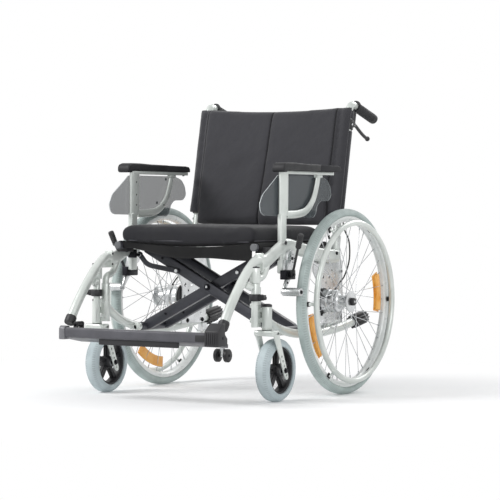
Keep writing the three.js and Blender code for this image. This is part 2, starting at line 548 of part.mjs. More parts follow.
function sideFrame() {
  const arch = tube(archPoints, upperArch.bend, upperArch.width / 2, upperArch.height / 2, 14, 10);
  const lower = tube(lowerPoints, lowerTube.bend, lowerTube.radius, lowerTube.radius, 14);
  const uprightTube = rod(at(frameX, upright.y, upright.bottom), at(frameX, upright.y, upright.top), upright.radius);
  const rail = tube([
    at(frameX, upright.y, upright.top - upright.radius), at(frameX, upright.y, bridge.kneeZ),
    at(frameX, bridge.kneeY, bridge.heelZ), at(frameX, bridge.topY, bridge.topZ),
  ], bridge.bend, bridge.radius, bridge.radius, 7);
  const post = rod(at(back.x, caneY(rearPost.bottomZ), rearPost.bottomZ), at(back.x, caneY(rearPost.topZ), rearPost.topZ),
    rearPost.radius, pinSides);
  const bosses = plate.bosses.map(([y, z]) => rod(at(plateX + plate.thickness + seatGap, y, z), at(frameX, y, z),
    plate.bossRadius, 6));
  const hangerPost = rod(at(hanger.x, hanger.y, hanger.postBottom), at(hanger.x, hanger.y, hanger.postTop), hanger.postRadius);
  const hangerPin = rod(at(hanger.x, hanger.y, hanger.postTop - overrun), at(hanger.x, hanger.y, hanger.pinTop), hanger.pinRadius);
  const lugs = [spacer.lowZ, spacer.highZ + spacer.height].map((z) => box(
    at(frameX - spacer.reach / 2, hanger.y, z), at(hanger.x + spacer.reach / 2, upright.y, z + spacer.height),
  ));
  const stem = cut(rod(at(casterX, caster.stemY, housing.bottom), at(casterX, caster.stemY, housing.top), housing.radius),
    [rod(at(casterX, caster.stemY, housing.bottom - overrun), at(casterX, caster.stemY, fork.stemTop + runGap),
      bored(fork.stemRadius))]);
  const wings = [spacer.lowZ, spacer.highZ].map((z) => box(
    at(frameX, upright.y - spacer.reach / 2, z), at(casterX - fork.stemRadius - runGap * 3, caster.stemY + spacer.reach, z + spacer.height),
  ));
  const socketLow = at(arm.x - arm.thickness / 2 + runGap, arm.postFrontY - socket.wall, socket.footZ);
  const socketHigh = at(arm.x + arm.thickness / 2 + socket.outerWall, arm.postRearY + socket.wall, socket.topZ);
  const socketBody = box(socketLow, socketHigh);
  const rodClamps = [clampFront, clampRear].map((y) => join([
    rod(at(brace.pivotX, y, brace.pivotZ), at(brace.pivotX, y + rodClamp.length, brace.pivotZ), rodClamp.radius),
    box(at(brace.pivotX, y, brace.pivotZ - rodClamp.plate), at(lowerTube.x, y + rodClamp.length, brace.pivotZ + rodClamp.plate / 2)),
  ]));
  const pivotRod = rod(at(brace.pivotX, clampFront + overrun, brace.pivotZ),
    at(brace.pivotX, clampRear + overrun, brace.pivotZ), brace.rodRadius);
  const linkFootY = arm.postFrontY - runGap - sideGap;
  const linkBoss = rod(at(link.frameX, linkFootY - link.footThickness / 2, link.frameZ),
    at(link.frameX, linkY + link.thickness + sideGap / 2, link.frameZ), link.pinRadius);
  const linkFoot = box(at(link.frameX - link.pinRadius, linkFootY - link.footThickness, link.frameZ - link.pinRadius * 2),
    at(frameX, linkFootY, link.frameZ + link.footRise));
  const saddles = [saddle.frontY, saddle.rearY].map((y) => cut(
    box(at(seat.railX - saddle.width / 2, y - saddle.length / 2, seat.railZ - seat.railRadius - saddle.height),
      at(frameX, y + saddle.length / 2, seat.railZ)),
    [rod(at(seat.railX, y - saddle.length, seat.railZ), at(seat.railX, y + saddle.length, seat.railZ),
      seat.railRadius + seatGap, pinSides)],
  ));
  const well = box(
    at(arm.x - arm.thickness / 2 - runGap, arm.postFrontY - runGap, arm.stubZ - runGap - overrun),
    at(arm.x + arm.thickness / 2 + runGap, arm.innerRearY + runGap, socket.topZ + overrun),
  );
  const whole = join([
    arch, lower, uprightTube, rail, post, ...bosses, hangerPost, hangerPin, ...lugs, stem, ...wings, socketBody,
    ...rodClamps, pivotRod, linkBoss, linkFoot, ...saddles, brakeBody(),
  ]);
  addPair('side_frame', cut(whole, [well]), paint);
}
const linkY = brace.frontArmY - brace.armThickness / 2 - sideGap - link.thickness;

// Ribbed step caps on the rear ends of the lower tubes.
function stepCaps() {
  const end = lowerPoints[lowerPoints.length - 1];
  const before = lowerPoints[lowerPoints.length - 2];
  const slope = (end.z - before.z) / (end.y - before.y);
  const startZ = end.z + (stepCap.startY - end.y) * slope;
  const start = at(lowerTube.x, stepCap.startY, startZ);
  const direction = at(0, 1, slope).normalize();
  const finish = start.clone().addScaledVector(direction, stepCap.length);
  const grooves = [];
  for (let i = 0; i < stepCap.flutes; i += 1) {
    const angle = i * 2 * Math.PI / stepCap.flutes;
    const reach = stepCap.radius + stepCap.fluteDepth * 0.4;
    const shift = at(reach * Math.cos(angle), 0, reach * Math.sin(angle));
    grooves.push(rod(start.clone().addScaledVector(direction, -overrun).add(shift),
      finish.clone().addScaledVector(direction, overrun).add(shift), stepCap.fluteDepth, 4));
  }
  const bore = rod(start.clone().addScaledVector(direction, -overrun),
    end.clone().addScaledVector(direction, stepCap.boreWall), bored(lowerTube.radius));
  addPair('step_cap', cut(rod(start, finish, stepCap.radius, 16), [bore, ...grooves]), blackPlastic);
  return { start, slope };
}

// Back canes, push grips, attendant brake levers and their cables.
function backCanes() {
  const low = rearPost.topZ + seatGap * 3;
  const corner = at(back.x, caneY(back.cornerZ), back.cornerZ);
  const handle = (grip.start + grip.length - grip.cap) / Math.hypot(1, back.handleSlope);
  const handleEnd = at(back.x, corner.y + handle, corner.z - handle * back.handleSlope);
  const foot = at(back.x, caneY(low), low);
  const cane = tube([foot, corner, handleEnd], back.bend, back.radius, back.radius, 12);
  addPair('back_cane', cane, paint);

  // The grip is turned about the handle: outside with grooves, then the blind bore.
  const direction = handleEnd.clone().sub(corner).normalize();
  const gripStart = corner.clone().addScaledVector(direction, grip.start);
  const depth = handleEnd.distanceTo(gripStart) + seatGap;
  const outside = [[0, grip.radius - grip.ribDepth]];
  for (let i = 0; i < grip.ribs; i += 1) {
    const from = grip.length * 0.9 * i / grip.ribs;
    const to = grip.length * 0.9 * (i + 0.8) / grip.ribs;
    outside.push([from + grip.ribDepth, grip.radius], [to, grip.radius], [to + grip.ribDepth, grip.radius - grip.ribDepth]);
  }
  const total = grip.length + seatGap;
  outside.push([total, grip.radius * 0.9], [total, 0], [depth, 0], [depth, bored(back.radius)], [0, bored(back.radius)]);
  const turned = new THREE.LatheGeometry([...outside, outside[0]].map(([z, radius]) => new THREE.Vector2(radius, z)), tubeSides + 2);
  turned.applyQuaternion(new THREE.Quaternion().setFromUnitVectors(at(0, 1, 0), direction));
  addPair('push_grip', turned.translate(gripStart.x, gripStart.y, gripStart.z), blackPlastic);

  // The lever clamp hugs the cane just below the handle bend.
  const clampY = caneY(clampZ);
  const halfHeight = leverClamp.height / 2;
  const caneLow = at(back.x, caneY(clampZ - halfHeight), clampZ - halfHeight);
  const caneHigh = at(back.x, caneY(clampZ + halfHeight), clampZ + halfHeight);
  const hull = rod(caneLow, caneHigh, back.radius + leverClamp.wall, pinSides);
  const noseY = clampY + back.radius + leverClamp.wall;
  const nose = box(at(back.x - leverClamp.noseWidth / 2, clampY, clampZ - halfHeight * 0.7),
    at(back.x + leverClamp.noseWidth / 2, noseY + leverClamp.noseLength, clampZ + halfHeight * 0.7));
  const housingTop = clampZ + leverClamp.housingRise;
  const housingFront = back.radius + runGap;
  const housing = slabX([
    [caneY(clampZ) + housingFront, clampZ], [caneY(clampZ) + housingFront + leverClamp.housingDepth, clampZ],
    [caneY(housingTop) + housingFront + leverClamp.housingDepth, housingTop], [caneY(housingTop) + housingFront * 1.75, housingTop],
  ], back.x - leverClamp.housingWidth / 2, back.x + leverClamp.housingWidth / 2);
  const pinY = noseY + leverClamp.noseLength / 2;
  const slotHalf = attendantLever.thickness / 2 + runGap;
  const slotCut = box(at(back.x - slotHalf, noseY + overrun / 2, clampZ - halfHeight),
    at(back.x + slotHalf, noseY + leverClamp.noseLength + overrun, clampZ + halfHeight));
  const caneBore = rod(caneLow.clone().lerp(caneHigh, -1), caneHigh.clone().lerp(caneLow, -1), bored(back.radius));
  const frontCut = box(at(back.x - leverClamp.noseWidth * 2, clampY - back.radius * 3, clampZ - halfHeight - overrun),
    at(back.x + leverClamp.noseWidth * 2, clampY - back.radius * 0.6, clampZ + halfHeight + overrun));
  const cableSocket = rod(at(back.x, clampY + back.radius + overrun, clampZ - halfHeight - overrun),
    at(back.x, clampY + back.radius + overrun, clampZ), bored(brakeCable.radius, 8), 8);
  const pin = rod(at(back.x - slotHalf - 1e-3 * overrun, pinY, clampZ), at(back.x + slotHalf + 1e-3 * overrun, pinY, clampZ),
    leverClamp.pinRadius, 10);
  addPair('lever_clamp', join([cut(join([hull, nose, housing]), [slotCut, caneBore, frontCut, cableSocket]), pin]), blackPlastic);

  const halfLever = attendantLever.thickness / 2;
  const leverTip = at(back.x, pinY + attendantLever.length, clampZ - attendantLever.drop);
  const leverShape = [
    [pinY - attendantLever.width / 2, clampZ + attendantLever.width * 0.4],
    [pinY + attendantLever.width / 2, clampZ + attendantLever.width * 0.4],
    [pinY + attendantLever.length * 0.5, clampZ - attendantLever.drop * 0.32],
    [leverTip.y, leverTip.z + attendantLever.width * 0.3],
    [leverTip.y, leverTip.z - attendantLever.width * 0.3],
    [pinY + attendantLever.length * 0.45, clampZ - attendantLever.drop * 0.62],
    [pinY - attendantLever.width / 2, clampZ - attendantLever.width * 0.4],
  ];
  const lever = cut(join([
    slabX(leverShape, back.x - halfLever, back.x + halfLever), ball(leverTip, attendantLever.ballRadius, 8),
  ]), [rod(at(back.x - overrun * 2, pinY, clampZ), at(back.x + overrun * 2, pinY, clampZ),
    bored(leverClamp.pinRadius))]);
  addPair('attendant_lever', lever, blackPlastic);
}

// Brake cable: leaves the lever clamp downward, runs behind the back and ends at the drum.
function cables() {
  const startY = caneY(clampZ) + back.radius + overrun;
  const top = clampZ - leverClamp.height / 2 + overrun;
  const low = wheelZ + drum.radius + seatGap * 4;
  const hanging = cableShares.map(([down, out, behind, reach]) => {
    const z = top + (low - top) * down;
    return at(back.x + brakeCable.outset * out, (caneY(z) + brakeCable.behind * behind) * reach, z);
  });
  const points = [at(back.x, startY, top), at(back.x, startY, top - leverClamp.height * 0.6), ...hanging];
  const path = new THREE.CatmullRomCurve3(points, false, 'centripetal');
  const section = new THREE.Shape(ovalOutline(0, 0, brakeCable.radius, brakeCable.radius, brakeCable.sides)
    .map(([x, y]) => new THREE.Vector2(x, y)));
  addPair('brake_cable', new THREE.ExtrudeGeometry(section,
    { extrudePath: path, steps: brakeCable.steps, bevelEnabled: false }), blackPlastic);
}

// Back upholstery: a padded panel ahead of the canes with a sleeve round each of them.
// Its middle bows rearward at the top and forward at the bottom.
function backUpholstery() {
  const halfWidth = back.x + upholstery.overhang;
  const topZ = back.cornerZ - upholstery.topDrop;
  const bottomZ = rearPost.topZ + upholstery.lift;
  const sleeveBottom = bottomZ + upholstery.sleeveLift;
  const sleeveTop = clampZ - leverClamp.height / 2 - upholstery.sleeveDrop;
  const surface = (front) => (s, t) => {
    const u = 2 * s - 1;
    const x = halfWidth * u;
    const arch = Math.max(0, 1 - (x / (back.x - back.radius)) ** 2);
    const z = bottomZ + (topZ - upholstery.topSag * arch - bottomZ) * t;
    const bow = arch * (upholstery.bottomBow + (upholstery.topBow - upholstery.bottomBow) * t);
    const rearY = caneY(z) - back.radius - sideGap + bow;
    const edge = Math.max(Math.abs(u), Math.abs(2 * t - 1)) > 0.99 ? upholstery.edgeRound : 0;
    const seam = Math.abs(u) < 1 / upholstery.columns ? upholstery.seamDepth : 0;
    return [x, front ? rearY - upholstery.thickness + edge + seam : rearY, z];
  };
  const panelBody = blanket(upholstery.columns, upholstery.rows, surface(true), surface(false));
  const bar = (side, lowZ, highZ, radius) => rod(at(side * back.x, caneY(lowZ), lowZ),
    at(side * back.x, caneY(highZ), highZ), radius, 10);
  const sleeves = [-1, 1].map((side) => (
    bar(side, sleeveBottom, sleeveTop, back.radius + upholstery.sleeve)));
  const bores = [-1, 1].map((side) => (
    bar(side, sleeveBottom - overrun, sleeveTop + overrun, bored(back.radius))));
  addPiece('back_upholstery', cut(join([panelBody, ...sleeves]), bores), nylon);
}

// Cross brace: each body carries two arms, one seat rail and one lower sleeve.
function crossArm(side, frontY, rearY) {
  const lowX = side * brace.pivotX;
  const highX = -side * seat.railX;
  const run = at(highX - lowX, 0, seat.railZ - brace.pivotZ);
  const unit = run.clone().normalize();
  const across = at(-unit.z, 0, unit.x).multiplyScalar(brace.armHeight / 2);
  const low = at(lowX, 0, brace.pivotZ);
  const high = low.clone().add(run);
  const heel = low.clone().addScaledVector(unit, brace.armHeight / 2);
  const outline = [
    low.clone().addScaledVector(across, brace.heelShare), heel.clone().add(across), high.clone().add(across),
    high.clone().sub(across), heel.clone().sub(across), low.clone().addScaledVector(across, -brace.heelShare),
  ].map((point) => [point.x, point.z]);
  const half = brace.armThickness / 2;
  const tipReach = seat.railRadius * brace.tipShare;
  const arms = [frontY, rearY].map((y) => cut(slabY(outline, y - half, y + half), [
    box(at(Math.min(highX, 0) - overrun * 6, y - half - overrun, brace.trimZ),
      at(Math.max(highX, 0) + overrun * 6, y + half + overrun, brace.trimZ + brace.armHeight * 2)),
    rod(at(0, y - half - overrun, boltZ), at(0, y + half + overrun, boltZ), bored(brace.boltRadius)),
    box(at(highX - (highX < 0 ? overrun * 6 : -tipReach), y - half - overrun, brace.pivotZ),
      at(highX + (highX < 0 ? -tipReach : overrun * 6), y + half + overrun, brace.trimZ + overrun)),
  ]));
  const rail = rod(at(highX, seat.frontY, seat.railZ), at(highX, seat.rearY, seat.railZ), seat.railRadius);
  const sleeve = rod(at(lowX, brace.sleeveFront, brace.pivotZ), at(lowX, brace.sleeveRear, brace.pivotZ), brace.sleeveRadius);
  const bore = rod(at(lowX, brace.sleeveFront - overrun, brace.pivotZ), at(lowX, brace.sleeveRear + overrun, brace.pivotZ),
    bored(brace.rodRadius));
  return cut(join([...arms, rail, sleeve]), [bore]);
}
const boltShare = brace.pivotX / (brace.pivotX + seat.railX);
const boltZ = brace.pivotZ + (seat.railZ - brace.pivotZ) * boltShare;

function crossBrace() {
  addPiece('cross_arm_left', crossArm(1, brace.frontArmY, brace.rearArmY), charcoal);
  addPiece('cross_arm_right', crossArm(-1, brace.frontArmY + brace.armPitch, brace.rearArmY + brace.armPitch), charcoal);
  const half = brace.armThickness / 2;
  const start = brace.frontArmY - half - seatGap;
  const end = brace.rearArmY + brace.armPitch + half + seatGap;
  addPiece('cross_bolt', join([
    rod(at(0, start - brace.boltHeadLength, boltZ), at(0, start, boltZ), brace.boltHead, pinSides),
    rod(at(0, start - brace.boltHeadLength / 2, boltZ), at(0, end + brace.boltHeadLength / 2, boltZ), brace.boltRadius, pinSides),
    rod(at(0, end, boltZ), at(0, end + brace.boltHeadLength, boltZ), brace.boltHead, 6),
  ]), silver);

  // Bent stabiliser link between the side frame and the cross arm.
  const elbow = at(link.frameX + (link.armX - link.frameX) * link.elbowShareX, 0,
    link.frameZ + (link.armZ - link.frameZ) * link.elbowShareZ);
  const halfBar = link.width / 2;
  const bar = slabY([
    [link.frameX + halfBar, link.frameZ], [link.frameX - halfBar * 0.8, link.frameZ + halfBar * 0.6],
    [elbow.x - halfBar * 0.5, elbow.z + halfBar], [link.armX, link.armZ + halfBar * 0.8], [link.armX - halfBar * 0.6, link.armZ],
    [link.armX, link.armZ - halfBar * 0.8], [elbow.x + halfBar * 0.4, elbow.z - halfBar],
  ], linkY, linkY + link.thickness);
  const eyes = [[link.frameX, link.frameZ], [link.armX, link.armZ]].map(([x, z]) => (
    rod(at(x, linkY, z), at(x, linkY + link.thickness, z), link.bossRadius)));
  addPair('brace_link', cut(join([bar, ...eyes]), [
    rod(at(link.frameX, linkY - overrun, link.frameZ), at(link.frameX, linkY + overrun * 2, link.frameZ), bored(link.pinRadius)),
    rod(at(link.armX, linkY - overrun, link.armZ), at(link.armX, linkY + overrun * 2, link.armZ), link.pinRadius),
  ]), charcoal);
}

// Seat sling and cushion.
const slingTop = (x) => seat.railZ + seat.railRadius + seatGap + sling.thickness
  - sling.sag * (1 - (x / seat.railX) ** 2);

function seatPieces() {
  const frontY = seat.frontY + overrun;
  const rearY = seat.rearY - overrun;
  const shape = (drop) => (s, t) => {
    const x = -seat.railX + 2 * seat.railX * s;
    return [x, frontY + (rearY - frontY) * t, slingTop(x) - drop];
  };
  const sheet = blanket(sling.columns, 2, shape(0), shape(sling.thickness));
  const hooks = [-1, 1].map((side) => {
    const outer = seat.railRadius + seatGap + sling.thickness;
    const ring = rod(at(side * seat.railX, frontY, seat.railZ), at(side * seat.railX, rearY, seat.railZ), outer, 16);
    const edge = side * (seat.railX + outer + overrun);
    const keep = box(at(Math.min(side * seat.railX, edge), frontY - overrun, seat.railZ),
      at(Math.max(side * seat.railX, edge), rearY + overrun, seat.railZ + outer + overrun));
    const bore = rod(at(side * seat.railX, frontY - overrun, seat.railZ), at(side * seat.railX, rearY + overrun, seat.railZ),
      seat.railRadius + seatGap, pinSides);
    return solid(ring).intersect(solid(keep)).subtract(solid(bore));
  });
  const hemEdge = seat.railX - sling.hemInset;
  const hem = box(at(-hemEdge, frontY, slingTop(0) - sling.hem), at(hemEdge, frontY + sling.hemThickness, slingTop(0) - sling.thickness / 2));
  const hemSides = [-1, 1].map((side) => box(
    at(Math.min(side * hemEdge * 0.5, side * hemEdge), frontY, slingTop(0) - sling.hem),
    at(Math.max(side * hemEdge * 0.5, side * hemEdge), frontY + sling.hemThickness, slingTop(hemEdge * 0.5) - sling.thickness / 2),
  ));
  const railClear = [-1, 1].map((side) => rod(at(side * seat.railX, frontY - overrun, seat.railZ),
    at(side * seat.railX, rearY + overrun, seat.railZ), seat.railRadius + seatGap, pinSides));
  addPiece('seat_sling', cut(join([sheet, ...hooks, hem, ...hemSides]), railClear), nylon);

  // Cushion: rounded in plan, sides drawn in at the waist, crowned on top.
  const centreY = (cushion.frontY + cushion.rearY) / 2;
  const halfDepth = (cushion.rearY - cushion.frontY) / 2;
  const plan = (u, v) => {
    const inset = cushion.corner * 0.29 * (u * u) * (v * v);
    const sideLine = 1 - inset / seat.railX;
    const depthLine = 1 - inset / halfDepth;
    return [u * seat.railX * sideLine, centreY + v * halfDepth * depthLine];
  };
  const skin = (top) => (s, t) => {
    const u = 2 * s - 1;
    const v = 2 * t - 1;
    const [x, y] = plan(u, v);
    const edge = Math.max(Math.abs(u), Math.abs(v));
    const round = cushion.puff * 2.2 * Math.max(0, (edge - 0.86) / 0.14) ** 2;
    const base = slingTop(x) + seatGap;
    if (!top) return [x, y, base + round * 0.5];
    const crown = cushion.crown * (1 - u * u) * (1 - v * v);
    return [x, y, seat.railZ + seat.railRadius + sling.thickness + cushion.height + crown - round];
  };
  addPiece('seat_cushion', blanket(cushion.columns, cushion.rows, skin(true), skin(false)), foam);
}

// Leg rests.
function legRests() {
  const points = along(legTubeShares, legTube.x, legTube.topY, legTube.footY - legTube.topY,
    legTube.topZ, legTube.footZ - legTube.topZ);
  const legPath = tube(points, legTube.bend, legTube.radius, legTube.radius, 13);
  const plateTop = gusset.lowZ + gusset.height;
  const face = box(at(legTube.x - legTube.radius, legTube.topY - gusset.plate, gusset.lowZ),
    at(legTube.x + legTube.radius, legTube.topY, plateTop));
  const web = slabX([
    [legTube.topY - gusset.plate / 2, gusset.lowZ], [legTube.topY - gusset.plate / 2, plateTop - gusset.plate],
    [points[1].y, points[1].z], [points[2].y, points[2].z], [hanger.y - hanger.sleeveRadius, gusset.lowZ],
  ], legTube.x - gusset.thickness / 2, legTube.x + gusset.thickness / 2);
  const sleeve = rod(at(hanger.x, hanger.y, hanger.postTop + seatGap), at(hanger.x, hanger.y, hanger.sleeveTop), hanger.sleeveRadius);
  const hookEnd = at(hanger.x, hanger.y, hook.z);
  const legAtHook = legPointAt(points, hook.z);
  const toPost = hookEnd.clone().sub(legAtHook).normalize();
  const hookStub = rod(legAtHook, hookEnd.clone().addScaledVector(toPost, -hanger.postRadius - sideGap), hook.radius);
  const bore = rod(at(hanger.x, hanger.y, hanger.postTop - overrun), at(hanger.x, hanger.y, hanger.pinTop + runGap),
    bored(hanger.pinRadius));
  const postClear = rod(at(hanger.x, hanger.y, hook.z - hook.radius * 2), at(hanger.x, hanger.y, hook.z + hook.radius * 1.25),
    hanger.postRadius + sideGap);
  addPair('legrest_tube', cut(join([legPath, face, web, sleeve, hookStub]), [bore, postClear]), paint);

  const ring = cut(rod(at(hanger.x, hanger.y, latch.z - latch.height), at(hanger.x, hanger.y, latch.z), latch.radius, pinSides), [
    rod(at(hanger.x, hanger.y, latch.z - latch.height - overrun), at(hanger.x, hanger.y, latch.z + overrun),
      bored(hanger.postRadius))]);
  const blade = slabY([
    [hanger.x + hanger.postRadius + overrun / 2, latch.z], [hanger.x + latch.bladeLength, latch.z - latch.bladeDrop],
    [hanger.x + latch.bladeLength, latch.z - latch.bladeDrop * 2], [hanger.x + hanger.postRadius + overrun / 2, latch.z - latch.height],
  ], hanger.y - latch.bladeWidth / 2, hanger.y + latch.bladeWidth / 2);
  addPair('legrest_latch', join([ring, blade]), blackPlastic);

  // Black collars at the lower tube ends; the right one carries the board hinge.
  const foot = points[points.length - 1];
  const direction = foot.clone().sub(points[points.length - 2]).normalize();
  const collarTop = foot.clone().addScaledVector(direction, -collar.cover);
  const collarEnd = collarTop.clone().addScaledVector(direction, collar.length);
  const tubeBore = rod(collarTop.clone().addScaledVector(direction, -overrun), foot.clone().addScaledVector(direction, seatGap),
    bored(legTube.radius));
  const collarBody = toGeometry(cut(rod(collarTop, collarEnd, collar.radius, 14), [tubeBore]));
  addPiece('legrest_collar_left', collarBody, blackPlastic);
  const mirroredBody = solid(flipped(collarBody));
  const lugRear = boardHinge.lugY + boardHinge.lugLength;
  const lug = box(at(-legTube.x, boardHinge.lugY, boardHinge.z - boardHinge.knuckle * 0.6),
    at(boardHinge.x, lugRear, boardHinge.z + boardHinge.knuckle * 0.6));
  const knuckle = rod(at(boardHinge.x, boardHinge.lugY, boardHinge.z), at(boardHinge.x, lugRear, boardHinge.z), boardHinge.knuckle);
  const lugCut = rod(at(boardHinge.x, boardHinge.lugY - overrun, boardHinge.z), at(boardHinge.x, lugRear + overrun, boardHinge.z),
    bored(boardHinge.pinRadius));
  const boreRight = solid(flipped(toGeometry(tubeBore)));
  addPiece('legrest_collar_right', cut(join([mirroredBody, lug, knuckle]), [lugCut, boreRight]), blackPlastic);
  return foot;
}

function legPointAt(points, z) {
  for (let i = 1; i < points.length; i += 1) {
    if (points[i].z <= z && points[i - 1].z >= z) {
      return points[i - 1].clone().lerp(points[i], (points[i - 1].z - z) / (points[i - 1].z - points[i].z));
    }
  }
  return points[points.length - 1];
}

// Footboard with its hinge ears and pin, and the latch at its free end.
function footboard() {
  const rearY = board.frontY + board.depth;
  const rearBottom = board.bottomZ - board.depth * board.bottomTilt;
  const lip = board.rearHeight * 0.4;
  const outline = [
    [board.frontY, board.bottomZ + lip], [board.frontY + lip, board.bottomZ], [rearY, rearBottom],
    [rearY, rearBottom + board.rearHeight], [board.frontY + lip * 2, board.bottomZ + board.frontHeight],
    [board.frontY, board.bottomZ + board.frontHeight - lip],
  ];
  const slab = slabX(outline, board.rightX, board.leftX);
  const ribRear = board.frontY + board.ribInset + board.ribThickness;
  const rib = box(at(-board.ribHalf, board.frontY + board.ribInset, board.bottomZ - board.ribHeight - lip),
    at(board.ribHalf, ribRear, board.bottomZ + lip));
  const earRun = [
    [boardHinge.lugY - sideGap - boardHinge.earLength, boardHinge.lugY - sideGap],
    [boardHinge.lugY + boardHinge.lugLength + sideGap, boardHinge.lugY + boardHinge.lugLength + sideGap + boardHinge.earLength],
  ];
  const ears = earRun.map(([fromY, toY]) => join([
    box(at(boardHinge.x - boardHinge.knuckle, fromY, board.bottomZ), at(boardHinge.x + boardHinge.knuckle, toY, boardHinge.z)),
    rod(at(boardHinge.x, fromY, boardHinge.z), at(boardHinge.x, toY, boardHinge.z), boardHinge.knuckle),
  ]));
  const pin = rod(at(boardHinge.x, earRun[0][0] + overrun / 2, boardHinge.z), at(boardHinge.x, earRun[1][1] - overrun / 2, boardHinge.z),
    boardHinge.pinRadius);
  addPiece('footboard', join([slab, rib, ...ears, pin]), boardGrey);

  const latchLeft = board.leftX + seatGap;
  const latchRight = latchLeft + boardLatch.width;
  const body = slabX([
    [boardLatch.frontY, boardLatch.bottomZ], [board.frontY + board.depth * 0.3, boardLatch.bottomZ],
    [board.frontY + board.depth * 0.3, board.bottomZ + board.frontHeight * 0.5],
    [boardLatch.rearY, board.bottomZ + board.frontHeight * 0.9], [boardLatch.rearY, boardLatch.topZ],
    [boardLatch.rearY - board.frontHeight * 0.4, boardLatch.topZ],
    [boardLatch.frontY, board.bottomZ + board.frontHeight * 1.2],
  ], latchLeft, latchRight);
  const grooves = [];
  for (let i = 0; i < boardLatch.ribs; i += 1) {
    const x = latchLeft + boardLatch.width * (i + 0.7) / (boardLatch.ribs + 0.4);
    grooves.push(box(at(x, boardLatch.frontY - overrun, boardLatch.bottomZ + overrun),
      at(x + boardLatch.ribDepth, boardLatch.frontY + boardLatch.ribDepth, board.bottomZ + board.frontHeight)));
  }
  addPiece('footboard_latch', cut(body, grooves), blackPlastic);
}

// Armrests.
function armrests() {
  const inner = arm.x - arm.thickness / 2;
  const outer = arm.x + arm.thickness / 2;
  const innerX = inner + runGap;
  const outerX = outer - runGap;
  const post = slabZ(ovalOutline(arm.x, (arm.postFrontY + arm.postRearY) / 2, arm.thickness / 2,
    (arm.postRearY - arm.postFrontY) / 2, 12), arm.sleeveZ, arm.barTopZ);
  const stem = box(at(innerX, arm.postFrontY + runGap, arm.stubZ), at(outerX, arm.innerRearY - runGap, arm.sleeveZ + overrun));
  const bar = box(at(inner, arm.postFrontY + socket.wall, arm.barBottomZ), at(outer, arm.barRearY, arm.barTopZ));
  const half = arm.braceWidth / 2;
  const braceCurve = tube([
    at(arm.x, arm.braceStartY, arm.barBottomZ - half / overrun), at(arm.x, arm.braceMidY, arm.braceMidZ),
    at(arm.x, arm.postRearY - overrun, arm.braceEndZ),
  ], arm.braceBend, arm.thickness * 0.3, half, 8, 6);
  addPair('armrest_frame', join([post, stem, bar, braceCurve]), paint);

  const bottom = arm.barTopZ + seatGap;
  const top = bottom + pad.thickness;
  const left = pad.x - pad.width / 2;
  const right = pad.x + pad.width / 2;
  const padBody = slabX([
    [pad.frontY + pad.corner, bottom - pad.noseDrop], [pad.frontY, bottom + pad.corner * 0.6],
    [pad.frontY + pad.corner * 0.5, top + pad.noseDrop * 0.4], [pad.frontY + pad.noseRadius * 2, top + pad.noseDrop],
    [arm.postRearY, top + pad.noseDrop * 0.4], [pad.rearY - pad.corner, top], [pad.rearY, top - pad.corner],
    [pad.rearY, bottom], [arm.postFrontY - overrun, bottom], [arm.postFrontY - overrun * 2, bottom - pad.noseDrop],
  ], left, right);
  const bevel = pad.corner * 0.7;
  const shave = [left, right].map((x) => {
    const tool = box(at(-bevel, pad.frontY - overrun, -bevel), at(bevel, pad.rearY + overrun, bevel));
    return tool.rotateY(Math.PI / 4).translate(x, 0, top + pad.noseDrop);
  });
  addPair('arm_pad', cut(padBody, shave), blackPlastic);

  const outline = panelShares.map(([a, b]) => [
    panel.frontY + a * (panel.rearY - panel.frontY), panel.bottomZ + b * (panel.topZ - panel.bottomZ)]);
  // Both panels are fixed to the face of the arm that looks toward the sitter's right.
  addPiece('side_panel_left', slabX(outline, inner - seatGap - panel.thickness, inner - seatGap), smoke);
  addPiece('side_panel_right', slabX(outline, -outer - seatGap - panel.thickness, -outer - seatGap), smoke);
}

// Parking brakes: the bracket hangs from a clamp on the outside of the upper member.
const shoeY = -wheel.radius - parking.shoeRadius - parking.shoeGap;
const brakeY = shoeY + parking.pivotRise;
const standOff = frameX + upperArch.width / 2;
const bracketX = standOff + parking.bodyWidth;
const pinEndX = bracketX + parking.leverWidth;
function brakeBody() {
  return join([
    box(at(frameX, brakeY - parking.bodyLength / 2, parking.pivotZ - parking.bodyHeight / 2),
      at(bracketX, brakeY + parking.bodyLength / 2, parking.pivotZ + parking.bodyHeight / 2)),
    box(at(standOff - parking.clampIn, parking.neckFrontY, parking.pivotZ),
      at(standOff + parking.clampOut, parking.neckFrontY + parking.neckWidth, parking.neckTopZ)),
    rod(at(standOff - parking.clampIn, parking.clampY, parking.clampZ),
      at(standOff + parking.clampOut, parking.clampY, parking.clampZ), parking.clampRadius),
    rod(at(bracketX - overrun, brakeY, parking.pivotZ), at(pinEndX, brakeY, parking.pivotZ), parking.pinRadius),
  ]);
}

